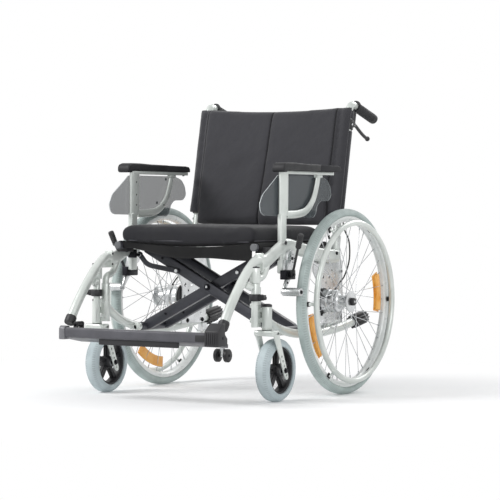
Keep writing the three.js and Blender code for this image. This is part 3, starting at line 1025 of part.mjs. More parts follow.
function parkingBrakes() {
  const leverX = bracketX + runGap * 2;
  const base = at(leverX + parking.leverWidth / 2 - runGap, brakeY, parking.pivotZ);
  const top = at(parking.leverTopX, brakeY - parking.leverLean, parking.leverTopZ);
  const direction = top.clone().sub(base).normalize();
  const gripStart = top.clone().addScaledVector(direction, -parking.gripLength * 0.4);
  const gripEnd = gripStart.clone().addScaledVector(direction, parking.gripLength);
  const stick = rod(base, gripStart.clone().addScaledVector(direction, overrun), parking.leverWidth * 0.36, 8);
  const hubDisc = rod(at(leverX, base.y, base.z), at(leverX + parking.leverWidth * 0.7, base.y, base.z), parking.pinRadius * 2.6);
  const handle = rod(gripStart, gripEnd, parking.gripRadius * 0.8, 8, parking.gripRadius);
  const knob = rod(gripEnd, gripEnd.clone().addScaledVector(direction, parking.gripRadius * 0.5), parking.gripRadius, 8,
    parking.gripRadius * 0.6);
  const bore = rod(at(leverX - overrun, base.y, base.z), at(pinEndX + overrun, base.y, base.z), bored(parking.pinRadius));
  addPair('brake_lever', cut(join([stick, hubDisc, handle, knob]), [bore]), blackPlastic);

  // The shoe bar hangs below the body and is pushed back against the tyre.
  const shoe = rod(at(parking.shoeX - parking.shoeLength / 2, shoeY, parking.shoeZ),
    at(parking.shoeX + parking.shoeLength / 2, shoeY, parking.shoeZ), parking.shoeRadius);
  const armLow = standOff - parking.clampIn + overrun * 2;
  const armTop = parking.pivotZ - parking.bodyHeight / 2 - seatGap;
  const shoeArm = slabX([
    [shoeY - parking.armWidth / 2, parking.shoeZ], [shoeY + parking.armWidth / 2, parking.shoeZ],
    [brakeY + parking.armWidth / 2, armTop], [brakeY - parking.armWidth * 2, armTop],
  ], armLow, armLow + parking.armThickness);
  addPair('brake_shoe', join([shoe, shoeArm]), silver);
}

// Anti-tip wheels on a drop tube that is clamped under the right lower tube.
function antiTipper({ start, slope }) {
  const x = -lowerTube.x;
  const below = (y, drop) => at(x, y, start.z + (y - start.y) * slope - drop);
  const depth = stepCap.radius + antiTip.tube + sideGap;
  const clampEnd = stepCap.startY - sideGap;
  const centreY = antiTip.reachY;
  const drop = tube([
    below(clampEnd - antiTip.clamp, depth), below(centreY - antiTip.tube, depth),
    at(x, centreY, antiTip.footZ + antiTip.wheelRadius), at(x, centreY, antiTip.footZ),
  ], antiTip.tube * 2, antiTip.tube, antiTip.tube, 10);
  const clampTop = below(clampEnd - antiTip.clamp, lowerTube.radius * Math.cos(Math.PI / tubeSides) + seatGap);
  const clampBlock = box(at(x - antiTip.tube, clampEnd - antiTip.clamp, clampTop.z - depth / 2),
    at(x + antiTip.tube, clampEnd, clampTop.z));
  const foot = cut(join([drop, clampBlock]), [rod(at(x - antiTip.tube * 2, centreY, antiTip.footZ),
    at(x + antiTip.tube * 2, centreY, antiTip.footZ), bored(antiTip.axleRadius))]);
  addPiece('anti_tip_tube', foot, silver);
  const spread = antiTip.wheelGap / 2;
  const round = antiTip.wheelWidth * 0.25;
  const wheels = [-1, 1].map((side) => {
    const near = side * spread;
    const far = side * (spread + antiTip.wheelWidth);
    return spin([
      [near, 0], [near, antiTip.wheelRadius - round], [near + side * round, antiTip.wheelRadius],
      [far - side * round, antiTip.wheelRadius], [far, antiTip.wheelRadius - round], [far, 0],
    ], 12, at(x, centreY, antiTip.footZ));
  });
  const shaft = rod(at(x - spread - round, centreY, antiTip.footZ), at(x + spread + round, centreY, antiTip.footZ),
    antiTip.axleRadius);
  addPiece('anti_tip_wheels', join([...wheels, shaft]), blackPlastic);
}

rearWheel();
axlePlate();
casterWheel();
sideFrame();
const stepTube = stepCaps();
backCanes();
cables();
backUpholstery();
crossBrace();
seatPieces();
legRests();
footboard();
armrests();
parkingBrakes();
antiTipper(stepTube);

// The origin goes to the bottom centre of the whole chair.
model.updateMatrixWorld(true);
const bounds = new THREE.Box3().setFromObject(model);
const middle = bounds.getCenter(new THREE.Vector3());
model.position.set(-middle.x, -middle.y, -bounds.min.z);

export default model;
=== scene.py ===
import json
import math

import bmesh
import bpy
from mathutils import Matrix, Vector, bvhtree, noise


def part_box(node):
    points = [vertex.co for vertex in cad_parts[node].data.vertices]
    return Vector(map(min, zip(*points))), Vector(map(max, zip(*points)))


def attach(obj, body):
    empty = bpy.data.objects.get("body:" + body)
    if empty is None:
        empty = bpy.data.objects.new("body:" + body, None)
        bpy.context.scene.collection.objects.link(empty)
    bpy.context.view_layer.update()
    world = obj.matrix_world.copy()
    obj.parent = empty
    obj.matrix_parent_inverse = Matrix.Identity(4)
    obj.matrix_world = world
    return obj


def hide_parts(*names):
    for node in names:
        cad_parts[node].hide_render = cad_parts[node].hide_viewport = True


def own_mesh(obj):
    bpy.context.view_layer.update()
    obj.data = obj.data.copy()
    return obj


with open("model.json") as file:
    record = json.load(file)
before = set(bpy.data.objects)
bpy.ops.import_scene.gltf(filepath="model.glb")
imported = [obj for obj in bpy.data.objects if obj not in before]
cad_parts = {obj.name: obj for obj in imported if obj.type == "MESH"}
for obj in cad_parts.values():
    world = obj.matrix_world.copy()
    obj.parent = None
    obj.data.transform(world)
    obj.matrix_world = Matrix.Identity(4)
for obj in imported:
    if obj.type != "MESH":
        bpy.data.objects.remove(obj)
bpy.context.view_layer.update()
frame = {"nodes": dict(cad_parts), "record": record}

# Lengths are millimetres in a frame whose rear axle lies over Y = 0 and whose floor is at Z = 0.
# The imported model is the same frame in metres, moved along Y. X points to the sitter's left.
low_corner, high_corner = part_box("rear_tyre_left")
SHIFT = (low_corner[1] + high_corner[1]) / 2
MM = 0.001
TAU = 2 * math.pi
SIDES = (("left", 1), ("right", -1))

# Places that several pieces share, on the sitter's left.
WHEEL_X, WHEEL_Z = 357.0, 305.0
CASTER_X, CASTER_Y, CASTER_Z, STEM_Y = 323.5, -392.0, 100.0, -448.0
FRAME_X, LOWER_X, UPRIGHT_Y = 287.0, 291.5, -452.0
POST_X, POST_Y = 300.0, -484.0
CANE_X, CANE_RADIUS, CANE_LEAN, CANE_Y, CANE_Z = 279.0, 12.5, 0.198, 166.0, 963.0
PIVOT_X, PIVOT_Z = 262.0, 215.0
RAIL_X, RAIL_Z, RAIL_FRONT, RAIL_REAR = 259.0, 486.0, -423.0, 42.0
LINK_Y, LINK_PIN_Z, LINK_EYE_X, LINK_EYE_Z = -291.5, 453.0, 118.0, 402.0
HINGE_X, HINGE_Z = -258.0, 238.0
BRAKE_Y, BRAKE_Z, LEVER_Y, LEVER_Z = -264.0, 450.0, -286.0, 398.0
ARM_X, ARM_POST_Y = 287.0, -287.5
STEP_Y = 166.0


def packed(point):
    """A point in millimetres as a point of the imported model."""
    return Vector((point[0] * MM, point[1] * MM + SHIFT, point[2] * MM))


# Camera: the photograph's view.
AZIMUTH, PITCH, ROLL = (math.radians(angle) for angle in (31.055, 1.1136, 0.3896))
CAMERA_AT = (3923.28, -6531.91, 616.67)
across = Vector((math.cos(AZIMUTH), math.sin(AZIMUTH), 0))
toward = Vector((math.sin(AZIMUTH) * math.cos(PITCH), -math.cos(AZIMUTH) * math.cos(PITCH), math.sin(PITCH)))
upward = toward.cross(across)
camera_x = math.cos(ROLL) * across + math.sin(ROLL) * upward
camera_y = -math.sin(ROLL) * across + math.cos(ROLL) * upward
camera = bpy.data.objects.new("camera", bpy.data.cameras.new("camera"))
camera.matrix_world = (Matrix.Translation(packed(CAMERA_AT))
                       @ Matrix((camera_x, camera_y, toward)).transposed().to_4x4())
camera.data.sensor_width = 36
camera.data.lens = 162.75
camera.data.clip_start = 0.1
camera.data.clip_end = 60
bpy.context.scene.collection.objects.link(camera)
bpy.context.scene.camera = camera


# Finishes.
def linear(red, green, blue):
    """An sRGB colour in bytes as a linear colour."""
    shares = [byte / 255 for byte in (red, green, blue)]
    return tuple(s / 12.92 if s <= 0.04045 else ((s + 0.055) / 1.055) ** 2.4 for s in shares) + (1.0,)


class Wire:
    """A socket that takes part in sums."""

    def __init__(self, tree, socket):
        self.tree = tree
        self.socket = socket

    def step(self, operation, *inputs):
        node = self.tree.nodes.new("ShaderNodeMath")
        node.operation = operation
        for slot, item in zip(node.inputs, inputs):
            if isinstance(item, Wire):
                self.tree.links.new(item.socket, slot)
            else:
                slot.default_value = item
        return Wire(self.tree, node.outputs[0])

    def __add__(self, other):
        return self.step("ADD", self, other)

    __radd__ = __add__

    def __sub__(self, other):
        return self.step("SUBTRACT", self, other)

    def __rsub__(self, other):
        return self.step("SUBTRACT", other, self)

    def __mul__(self, other):
        return self.step("MULTIPLY", self, other)

    __rmul__ = __mul__

    def __abs__(self):
        return self.step("ABSOLUTE", self)

    def sine(self):
        return self.step("SINE", self)

    def angle(self, other):
        return self.step("ARCTAN2", self, other)

    def smaller(self, other):
        return self.step("MINIMUM", self, other)

    def root(self):
        return self.step("SQRT", self)


class Finish:
    """A material with the nodes that vary it over the surface."""

    def __init__(self, name, roughness, metallic=0.0, coat=0.0, specular=0.5):
        self.material = bpy.data.materials.new(name)
        self.material.use_nodes = True
        self.tree = self.material.node_tree
        self.shader = self.tree.nodes["Principled BSDF"]
        self.shader.inputs["Roughness"].default_value = roughness
        self.shader.inputs["Metallic"].default_value = metallic
        self.shader.inputs["Coat Weight"].default_value = coat
        self.shader.inputs["Coat Roughness"].default_value = 0.15
        self.shader.inputs["Specular IOR Level"].default_value = specular

    def node(self, kind, settings=None, output=0, **inputs):
        """Any node: its settings first, then the values or links of its sockets."""
        made = self.tree.nodes.new(kind)
        for name, value in (settings or {}).items():
            setattr(made, name, value)
        for name, value in inputs.items():
            slot = made.inputs[int(name[1:])] if name[0] == "_" else made.inputs[name.replace("_", " ")]
            if isinstance(value, Wire):
                self.tree.links.new(value.socket, slot)
            else:
                slot.default_value = value
        return Wire(self.tree, made.outputs[output])

    def place(self, centre=(0, 0, 0), scale=(1, 1, 1), turn=(0, 0, 0)):
        """Object coordinates measured from a centre, turned and stretched."""
        spot = self.node("ShaderNodeTexCoord", output="Object")
        return self.node("ShaderNodeMapping", {"vector_type": "TEXTURE"}, Vector=spot, Location=centre,
                         Rotation=turn, Scale=[1 / s for s in scale])

    def axis(self, spot, number):
        return self.node("ShaderNodeSeparateXYZ", output=number, Vector=spot)

    def cloud(self, spot, scale, detail=3.0, rough=0.5):
        return self.node("ShaderNodeTexNoise", Vector=spot, Scale=scale, Detail=detail, Roughness=rough)

    def cells(self, spot, scale):
        return self.node("ShaderNodeTexVoronoi", Vector=spot, Scale=scale)

    def ramp(self, value, start, end, low=0.0, high=1.0):
        return self.node("ShaderNodeMapRange", {"interpolation_type": "SMOOTHSTEP"}, Value=value,
                         _1=start, _2=end, _3=low, _4=high)

    def blend(self, share, first, second):
        return self.node("ShaderNodeMix", {"data_type": "RGBA"}, output=2, _0=share, _6=first, _7=second)

    def drive(self, name, wire):
        self.tree.links.new(wire.socket, self.shader.inputs[name])
        return self

    def relief(self, height, distance, strength=1.0):
        return self.drive("Normal", self.node("ShaderNodeBump", output=0, Height=height, Distance=distance,
                                              Strength=strength))


def powder_coat(name, colour, shade, roughness, metallic, coat=0.2, grain=0.00004):
    """Powder coat: faint clouds, an orange-peel surface and slightly uneven gloss."""
    f = Finish(name, roughness, metallic, coat)
    spot = f.place()
    f.drive("Base Color",
            f.blend(f.ramp(f.cloud(spot, 9, 4, 0.6), 0.35, 0.75), linear(*colour), linear(*shade)))
    f.drive("Roughness", f.ramp(f.cloud(spot, 40), 0.3, 0.7, roughness * 0.85, roughness * 1.2))
    return f.relief(f.cloud(spot, 900, 2), grain, 0.6).material


def moulding(name, colour, light, roughness, grain=0.0001, scale=1400, specular=0.5):
    """Moulded plastic or rubber with a fine eroded grain."""
    f = Finish(name, roughness, specular=specular)
    spot = f.place()
    patches = f.cloud(spot, 30)
    f.drive("Base Color", f.blend(f.ramp(patches, 0.35, 0.7), linear(*colour), linear(*light)))
    f.drive("Roughness", f.ramp(patches, 0.3, 0.7, roughness * 0.88, min(1, roughness * 1.12)))
    return f.relief(f.cells(spot, scale), grain, 0.5).material


def bare_metal(name, colour, roughness, brush=(1, 1, 40)):
    """Brushed or polished metal, streaked along one direction."""
    f = Finish(name, roughness, 0.95)
    streaks = f.cloud(f.place(scale=brush), 60, 3, 0.6)
    stain = f.cloud(f.place(), 25)
    f.drive("Base Color",
            f.blend(f.ramp(stain, 0.4, 0.8), linear(*colour), linear(*(c * 0.88 for c in colour))))
    f.drive("Roughness", f.ramp(streaks, 0.2, 0.8, roughness * 0.75, roughness * 1.3))
    return f.relief(streaks, 0.00003, 0.4).material


def tyre_rubber(name, centre, half_track, lugs, shoulder, colour, shade):
    """Grey rubber with fine ribs across the shoulders of a wheel whose centre is given as (y, z); the
    grooves between the ribs are painted darker as painted shade.
    """
    f = Finish(name, 0.7, specular=0.35)
    spot = f.place(centre=packed((0, *centre)))
    turn = f.axis(spot, 2).angle(f.axis(spot, 1))
    side = abs(abs(f.axis(spot, 0)) - half_track * MM)
    width = shoulder * MM
    on_shoulder = f.ramp(side, width * 0.45, width * 0.6) * f.ramp(side, width * 0.98, width * 0.9)
    ribs = f.ramp((turn * lugs).sine(), -0.2, 0.5)
    dust = f.ramp(f.cloud(f.place(), 22, 4, 0.6), 0.35, 0.75)
    plain = f.blend(dust, linear(*colour), linear(*shade))
    # The grooves between the shoulder ribs are painted darker: painted shade in the grooves.
    f.drive("Base Color", f.blend(ribs * on_shoulder * 0.45, plain, linear(*(c * 0.78 for c in colour))))
    f.drive("Roughness", f.ramp(dust, 0, 1, 0.62, 0.8))
    return f.relief(1 - ribs * on_shoulder, 0.0007, 0.8).material


def woven(name, colour, light, threads=1500, sheen=0.25, crease=0.0008):
    """Woven nylon: two crossing sets of threads, faint blotches and slight creases."""
    f = Finish(name, 0.82, specular=0.3)
    f.shader.inputs["Sheen Weight"].default_value = sheen
    f.shader.inputs["Sheen Roughness"].default_value = 0.45
    spot = f.place()
    warp = (f.axis(spot, 0) * threads).sine()
    weft = ((f.axis(spot, 2) + f.axis(spot, 1) * 0.8) * threads).sine()
    weave = (warp * weft) * 0.5 + 0.5
    blotch = f.ramp(f.cloud(spot, 7, 4, 0.6), 0.3, 0.75)
    f.drive("Base Color", f.blend(blotch * 0.6 + weave * 0.4, linear(*colour), linear(*light)))
    f.drive("Roughness", f.ramp(blotch, 0, 1, 0.75, 0.9))
    folds = f.cloud(f.place(scale=(1, 1, 0.6), turn=(0, 0.6, 0)), 14, 2)
    return f.relief(weave * 0.25 + folds * 1.0, crease, 0.7).material


FRAME_PAINT = powder_coat("frame_paint", (214, 219, 215), (194, 200, 196), 0.33, 0.3, 0.35)
RIM_PAINT = powder_coat("rim_paint", (232, 235, 234), (222, 226, 225), 0.3, 0.1, 0.35)
BRACE_PAINT = powder_coat("brace_paint", (64, 65, 72), (54, 55, 61), 0.4, 0.3, 0.2)
BOARD_PAINT = powder_coat("board_paint", (84, 84, 90), (70, 70, 75), 0.5, 0.15, 0.1, 0.0001)
BOARD_EDGE = powder_coat("board_edge", (118, 118, 122), (102, 102, 106), 0.45, 0.2, 0.1)
BRIGHT = bare_metal("bright_metal", (214, 216, 217), 0.3)
SPOKE = bare_metal("spoke_steel", (198, 200, 202), 0.22)
BLACK = moulding("black_plastic", (24, 24, 27), (32, 32, 35), 0.48)
PAD_BLACK = moulding("pad_foam", (24, 24, 27), (31, 31, 34), 0.6, 0.0002, 900, 0.4)
PAD_DULL = moulding("pad_rear", (38, 38, 41), (46, 46, 49), 0.78, 0.0002, 900, 0.3)
BLACK_STEEL = bare_metal("black_steel", (44, 44, 48), 0.38)
WHITE_PLASTIC = moulding("white_plastic", (226, 228, 226), (216, 219, 217), 0.42)
SHEATH = moulding("cable_sheath", (18, 18, 20), (24, 24, 26), 0.4)
AMBER = moulding("reflector_amber", (247, 184, 92), (236, 158, 62), 0.22, 0.0004, 420)
GREY_CAP = moulding("grey_cap", (104, 106, 109), (92, 94, 97), 0.5)
BAND_NYLON = woven("band_nylon", (10, 10, 11), (17, 17, 18), 1100, 0.02)
SEAT_NYLON = woven("seat_nylon", (22, 22, 26), (33, 33, 38), 1500, 0.2, 0.0014)
# The welt is real piping; its grey, much paler than the cover fabric, is a painted highlight along the
# cushion's lower edge.
WELT_PAINTED_HIGHLIGHT = moulding("welt_painted_highlight", (74, 74, 80), (60, 60, 66), 0.55)
REAR_RUBBER = tyre_rubber("tyre_grey", (0, WHEEL_Z), WHEEL_X, 220, 17.5, (180, 192, 190), (166, 178, 176))
CASTER_RUBBER = tyre_rubber("caster_grey", (CASTER_Y, CASTER_Z), CASTER_X, 80, 20, (186, 198, 201),
                            (172, 184, 188))


def smoke():
    """Translucent grey plastic of the side panels."""
    f = Finish("clear_panel", 0.16, specular=0.5)
    wear = f.ramp(f.cloud(f.place(), 12, 3), 0.3, 0.8)
    f.drive("Base Color", f.blend(wear, linear(80, 87, 91), linear(88, 95, 99)))
    f.shader.inputs["Alpha"].default_value = 0.53
    return f.material


def smoke_edge():
    """The denser, paler cut edge of a side panel."""
    f = Finish("panel_edge", 0.3)
    f.drive("Base Color",
            f.blend(f.ramp(f.cloud(f.place(), 40), 0.3, 0.7), linear(188, 194, 196), linear(196, 201, 203)))
    f.shader.inputs["Alpha"].default_value = 0.85
    return f.material


SMOKE = smoke()
SMOKE_EDGE = smoke_edge()

slots = {item["node"]: item["material_slot"] for item in frame["record"]["subparts"]}
slot_finish = {
    "frame_paint": FRAME_PAINT, "brace_paint": BRACE_PAINT, "board_paint": BOARD_PAINT,
    "bright_metal": BRIGHT, "black_plastic": BLACK, "pad_foam": PAD_BLACK, "cable_sheath": SHEATH,
    "nylon": SEAT_NYLON, "tyre_grey": REAR_RUBBER, "clear_panel": SMOKE,
}
for node_name, thing in frame["nodes"].items():
    thing.data.materials.clear()
    thing.data.materials.append(slot_finish[slots[node_name]])


# Shapes. A Solid gathers closed parts, each painted with one of the piece's finishes.
class Solid:
    def __init__(self):
        self.mesh = bmesh.new()

    def join(self, part):
        """Adds a bmesh as it is and frees it."""
        held = bpy.data.meshes.new("part")
        part.to_mesh(held)
        part.free()
        self.mesh.from_mesh(held)
        bpy.data.meshes.remove(held)
        return self

    def take(self, part, paint=0):
        """Paints a finished part with one finish and adds it."""
        for face in part.faces:
            face.material_index = paint
            face.smooth = True
        return self.join(part)

    def rod(self, start, end, radius, tip=None, sides=24, edge=0.0, paint=0):
        """A round bar between two points; tip is its radius at the end, edge the rounding of its rims."""
        part = bmesh.new()
        start, end = Vector(start), Vector(end)
        run = end - start
        turn = run.to_track_quat("Z", "Y").to_matrix().to_4x4()
        bmesh.ops.create_cone(part, cap_ends=True, segments=sides, radius1=radius,
                              radius2=radius if tip is None else tip, depth=run.length,
                              matrix=Matrix.Translation((start + end) / 2) @ turn)
        if edge:
            rims = [e for e in part.edges if any(len(f.verts) > 4 for f in e.link_faces)]
            bmesh.ops.bevel(part, geom=rims, offset=edge, segments=2, profile=0.5, affect="EDGES",
                            material=-1)
        return self.take(part, paint)

    def peg(self, start_x, end_x, spot, radius, sides=24, edge=0.0, paint=0):
        """A round bar across the chair, from one x to another at a (y, z)."""
        return self.rod((start_x, *spot), (end_x, *spot), radius, sides=sides, edge=edge, paint=paint)

    def block(self, low, high, edge=1.0, paint=0, segments=2):
        """A block between two corners, its edges rounded."""
        part = bmesh.new()
        low, high = Vector(low), Vector(high)
        bmesh.ops.create_cube(part, size=1, matrix=Matrix.Diagonal(high - low).to_4x4())
        bmesh.ops.bevel(part, geom=part.edges[:], offset=edge, segments=segments, profile=0.5,
                        affect="EDGES", material=-1)
        bmesh.ops.translate(part, vec=(low + high) / 2, verts=part.verts)
        return self.take(part, paint)

    def turned(self, profile, centre, axis=(1, 0, 0), sides=48, paint=0):
        """A turned form; profile points are (along the axis, radius)."""
        part = bmesh.new()
        centre, axis = Vector(centre), Vector(axis).normalized()
        out = axis.orthogonal().normalized()
        closed = profile[0] == profile[-1]
        corners = [part.verts.new(centre + axis * along + out * radius)
                   for along, radius in (profile[:-1] if closed else profile)]
        edges = [part.edges.new(pair) for pair in zip(corners, corners[1:])]
        if closed:
            edges.append(part.edges.new((corners[-1], corners[0])))
        bmesh.ops.spin(part, geom=corners + edges, cent=centre, axis=axis, angle=TAU, steps=sides,
                       use_merge=True)
        bmesh.ops.remove_doubles(part, verts=part.verts, dist=0.001)
        bmesh.ops.dissolve_degenerate(part, dist=0.001, edges=part.edges)
        bmesh.ops.recalc_face_normals(part, faces=part.faces)
        return self.take(part, paint)

    def swept(self, path, wide, high=None, sides=18, side=(1, 0, 0), paint=0, square=False):
        """A tube along a path; wide lies along the side direction and high across it."""
        part = bmesh.new()
        high = wide if high is None else high
        side = Vector(side)
        rings = []
        for i, point in enumerate(path):
            tangent = (path[min(i + 1, len(path) - 1)] - path[max(i - 1, 0)]).normalized()
            first = (side - tangent * side.dot(tangent)).normalized()
            second = tangent.cross(first)
            basis = Matrix((first * wide, second * high, tangent)).transposed().to_4x4()
            if square:
                basis = basis @ Matrix.Rotation(TAU / 8, 4, "Z") @ Matrix.Scale(math.sqrt(2), 4)
            ring = bmesh.ops.create_circle(part, cap_ends=False, segments=sides, radius=1,
                                           matrix=Matrix.Translation(point) @ basis)["verts"]
            rings.append(list({edge for vert in ring for edge in vert.link_edges}))
        for first_ring, second_ring in zip(rings, rings[1:]):
            bmesh.ops.bridge_loops(part, edges=first_ring + second_ring)
        for ring in (rings[0], rings[-1]):
            bmesh.ops.contextual_create(part, geom=ring)
        bmesh.ops.recalc_face_normals(part, faces=part.faces)
        return self.take(part, paint)

    def slab(self, outline, depth, edge=0.0, paint=0, segments=2):
        """A flat outline carried along depth, its edges rounded."""
        part = bmesh.new()
        face = part.faces.new([part.verts.new(Vector(point)) for point in outline])
        grown = bmesh.ops.extrude_face_region(part, geom=[face])
        bmesh.ops.translate(part, vec=Vector(depth),
                            verts=[v for v in grown["geom"] if isinstance(v, bmesh.types.BMVert)])
        bmesh.ops.recalc_face_normals(part, faces=part.faces)
        if edge:
            bmesh.ops.bevel(part, geom=part.edges[:], offset=edge, segments=segments, profile=0.5,
                            affect="EDGES", material=-1)
        return self.take(part, paint)

    def plate(self, x, thick, outline, edge=0.0, paint=0, segments=2):
        """A slab that stands upright along the chair, its outline given as (y, z)."""
        return self.slab([(x, y, z) for y, z in outline], (thick, 0, 0), edge, paint, segments)

    def carve(self, tool):
        """Cuts another Solid out of this one, which keeps the first finish alone."""
        things = []
        for name, shape in (("carved", self), ("tool", tool)):
            mesh = bpy.data.meshes.new(name)
            shape.mesh.to_mesh(mesh)
            thing = bpy.data.objects.new(name, mesh)
            bpy.context.scene.collection.objects.link(thing)
            things.append(thing)
        cutter = things[0].modifiers.new("cut", "BOOLEAN")
        cutter.operation = "DIFFERENCE"
        cutter.solver = "EXACT"
        cutter.object = things[1]
        seen = bpy.context.evaluated_depsgraph_get()
        result = bpy.data.meshes.new_from_object(things[0].evaluated_get(seen))
        self.mesh.clear()
        self.mesh.from_mesh(result)
        for thing in things:
            bpy.data.objects.remove(thing)
        bpy.data.meshes.remove(result)
        return self


def route(points, bend, step=5.0):
    """Points along straight runs joined by round bends."""
    points = [Vector(point) for point in points]
    path = [points[0]]
    for before, corner, after in zip(points, points[1:], points[2:]):
        entry = corner.lerp(before, min(bend / (corner - before).length, 0.45))
        leave = corner.lerp(after, min(bend / (corner - after).length, 0.45))
        count = max(3, round(((entry - corner).length + (leave - corner).length) / step))
        for i in range(count + 1):
            t = i / count
            path.append(entry * (1 - t) ** 2 + corner * 2 * t * (1 - t) + leave * t ** 2)
    path.append(points[-1])
    return path


def flowing(points, count=10):
    """Points along a smooth curve through the given ones."""
    points = [Vector(point) for point in points]
    path = []
    for i in range(len(points) - 1):
        before, start, end, after = (points[max(i - 1, 0)], points[i], points[i + 1],
                                     points[min(i + 2, len(points) - 1)])
        bend = 2 * before - 5 * start + 4 * end - after
        twist = 3 * start - before - 3 * end + after
        for k in range(count):
            t = k / count
            path.append(0.5 * (2 * start + (end - before) * t + bend * t ** 2 + twist * t ** 3))
    path.append(points[-1])
    return path


def piece(name, solid, finishes, body, replaced=(), crease=38):
    """Makes a scene piece of a Solid, riding on a body and standing for CAD nodes."""
    mesh = bpy.data.meshes.new(name)
    bmesh.ops.transform(solid.mesh, matrix=Matrix.Translation((0, SHIFT, 0)) @ Matrix.Scale(MM, 4),
                        verts=solid.mesh.verts)
    solid.mesh.to_mesh(mesh)
    solid.mesh.free()
    mesh.set_sharp_from_angle(angle=math.radians(crease))
    thing = bpy.data.objects.new(name, mesh)
    bpy.context.scene.collection.objects.link(thing)
    for finish in finishes if isinstance(finishes, (list, tuple)) else [finishes]:
        mesh.materials.append(finish)
    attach(thing, body)
    if replaced:
        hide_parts(*replaced)
    return thing


def pair(name, make, finishes, body, slot, replaced=(), crease=38):
    """A piece on each side, made for the sitter's left and mirrored to the right."""
    things = []
    for side, sign in SIDES:
        solid = make()
        if sign < 0:
            bmesh.ops.scale(solid.mesh, vec=(-1, 1, 1), verts=solid.mesh.verts)
            bmesh.ops.reverse_faces(solid.mesh, faces=solid.mesh.faces)
        things.append(piece(f"{name}_{side}", solid, finishes, body.format(side),
                            [node.format(side) for node in replaced], crease))
    return things


def polar(x, radius, angle, centre_y=0.0, centre_z=WHEEL_Z):
    """A point on a wheel; the angle runs from the rear toward the top."""
    return Vector((x, centre_y + radius * math.cos(angle), centre_z + radius * math.sin(angle)))


def cane_y(z):
    """The leaning back cane's centre at a height."""
    return CANE_Y + (z - CANE_Z) * CANE_LEAN


def along(shares, x, y, run_y, z, run_z):
    """Points of a tube's line, given as shares of its run along Y and Z."""
    return [Vector((x, y + a * run_y, z + b * run_z)) for a, b in shares]


def mirrored_ring(half):
    """A closed turned profile from its half, which starts on the middle plane."""
    ring = [(-along_axis, radius) for along_axis, radius in reversed(half[1:])] + half
    return ring + [ring[0]]


# Rear wheels.
WHEEL = Vector((WHEEL_X, 0, WHEEL_Z))


def rear_tyre():
    half = [(0, 305), (4.6, 304.8), (5.0, 304.0), (5.8, 304.0), (6.2, 304.4), (10.5, 302.8), (14, 299.6),
            (16.6, 295), (17.5, 290), (16.9, 285.5), (15, 282.4), (13.7, 281.3)]
    return Solid().turned(mirrored_ring(half), WHEEL, sides=160)


def rear_wheel():
    """The rim, the hub with its two flanges, and the crossed spokes with their nipples."""
    spokes, flange_radius, seat_radius, nipple_length = 36, 31, 262.5, 13
    wheel = Solid()
    half = [(0, 261.6), (5, 262), (9, 264.6), (12.4, 269), (14, 274), (14, 280.2), (13.2, 281), (11.8, 281),
            (11.6, 276)]
    wheel.turned(mirrored_ring(half), WHEEL, sides=144)
    barrel = [(-27, 6.75), (-27, 20), (-26.4, 34), (-25.6, 35), (-23.4, 35), (-22.6, 34), (-22, 26),
              (-18, 21.6), (-14, 20.4), (12, 18.5), (16, 21), (18.6, 27), (19.4, 34), (20.2, 35), (22.6, 35),
              (23.2, 34), (24, 20), (24, 6.75), (-27, 6.75)]
    wheel.turned(barrel, WHEEL, sides=48, paint=1)
    for i in range(spokes):
        angle = TAU * i / spokes
        outside = i % 2
        lean = math.radians(68) * (1 if i % 4 < 2 else -1)
        root = polar(WHEEL_X + (21.4 if outside else -24.4), flange_radius, angle + lean)
        seat = polar(WHEEL_X + (3 if outside else -3), seat_radius, angle)
        wheel.rod(root, seat, 1.05, sides=6, paint=2)
        nipple = seat.lerp(root, nipple_length / (seat - root).length)
        wheel.rod(nipple, seat, 2.0, sides=6, paint=2)
        wheel.rod(root - Vector((1.6, 0, 0)), root + Vector((1.6, 0, 0)), 2.2, sides=8, paint=2)
    return wheel


def hand_rim():
    """The round hand rim on six bent tabs, each bolted to a foot on the wheel rim."""
    rim_x, rim_radius, tube, steps, tabs = 395, 259, 9.5, 14, 6
    rim = Solid()
    circle = [(tube * math.cos(TAU * k / steps), rim_radius + tube * math.sin(TAU * k / steps))
              for k in range(steps)]
    rim.turned(circle + [circle[0]], (rim_x, 0, WHEEL_Z), sides=144)
    for i in range(tabs):
        stalk = Solid().swept(route([(371.6, 0, 276), (379, 0, 274), (383, 0, 262), (392, 0, 259)], 8, 2),
                              5.5, 1.7, sides=12, side=(0, 1, 0))
        stalk.block((371.4, -8, 264), (376, 8, 280.6), 1.4, paint=1)
        stalk.peg(376, 378.4, (0, 271), 4.2, sides=6, edge=0.5, paint=2)
        turn = Matrix.Translation((0, 0, WHEEL_Z)) @ Matrix.Rotation(TAU * (i + 0.5) / tabs, 4, "X")
        bmesh.ops.transform(stalk.mesh, matrix=turn, verts=stalk.mesh.verts)
        rim.join(stalk.mesh)
    return rim


def arc_plate(solid, inner, outer, start, end, low_x, high_x, steps, edge, paint=0):
    """A curved plate between two radii, standing in the wheel plane."""
    ring = [polar(low_x, outer, start + (end - start) * i / steps) for i in range(steps + 1)]
    ring += [polar(low_x, inner, end - (end - start) * i / steps) for i in range(steps + 1)]
    return solid.slab(ring, (high_x - low_x, 0, 0), edge, paint)


# Where each wheel's amber reflectors begin and end, in degrees.
REFLECTORS = {"left": ((-9, 21), (190, 226)), "right": ((231, 266), (48, 84))}
for side, sign in SIDES:
    for number, (start, end) in enumerate(REFLECTORS[side]):
        lens = arc_plate(Solid(), 212, 242, math.radians(start), math.radians(end),
                         WHEEL_X - 2, WHEEL_X + 6, 8, 1.4)
        arc_plate(lens, 209, 245, math.radians(start - 1.2), math.radians(end + 1.2),
                  WHEEL_X - 6, WHEEL_X - 2.2, 8, 1.0, paint=1)
        if sign < 0:
            bmesh.ops.scale(lens.mesh, vec=(-1, 1, 1), verts=lens.mesh.verts)
            bmesh.ops.reverse_faces(lens.mesh, faces=lens.mesh.faces)
        piece(f"reflector_{number + 1}_{side}", lens, [AMBER, AMBER], f"rear_wheel_{side}",
              crease=30)


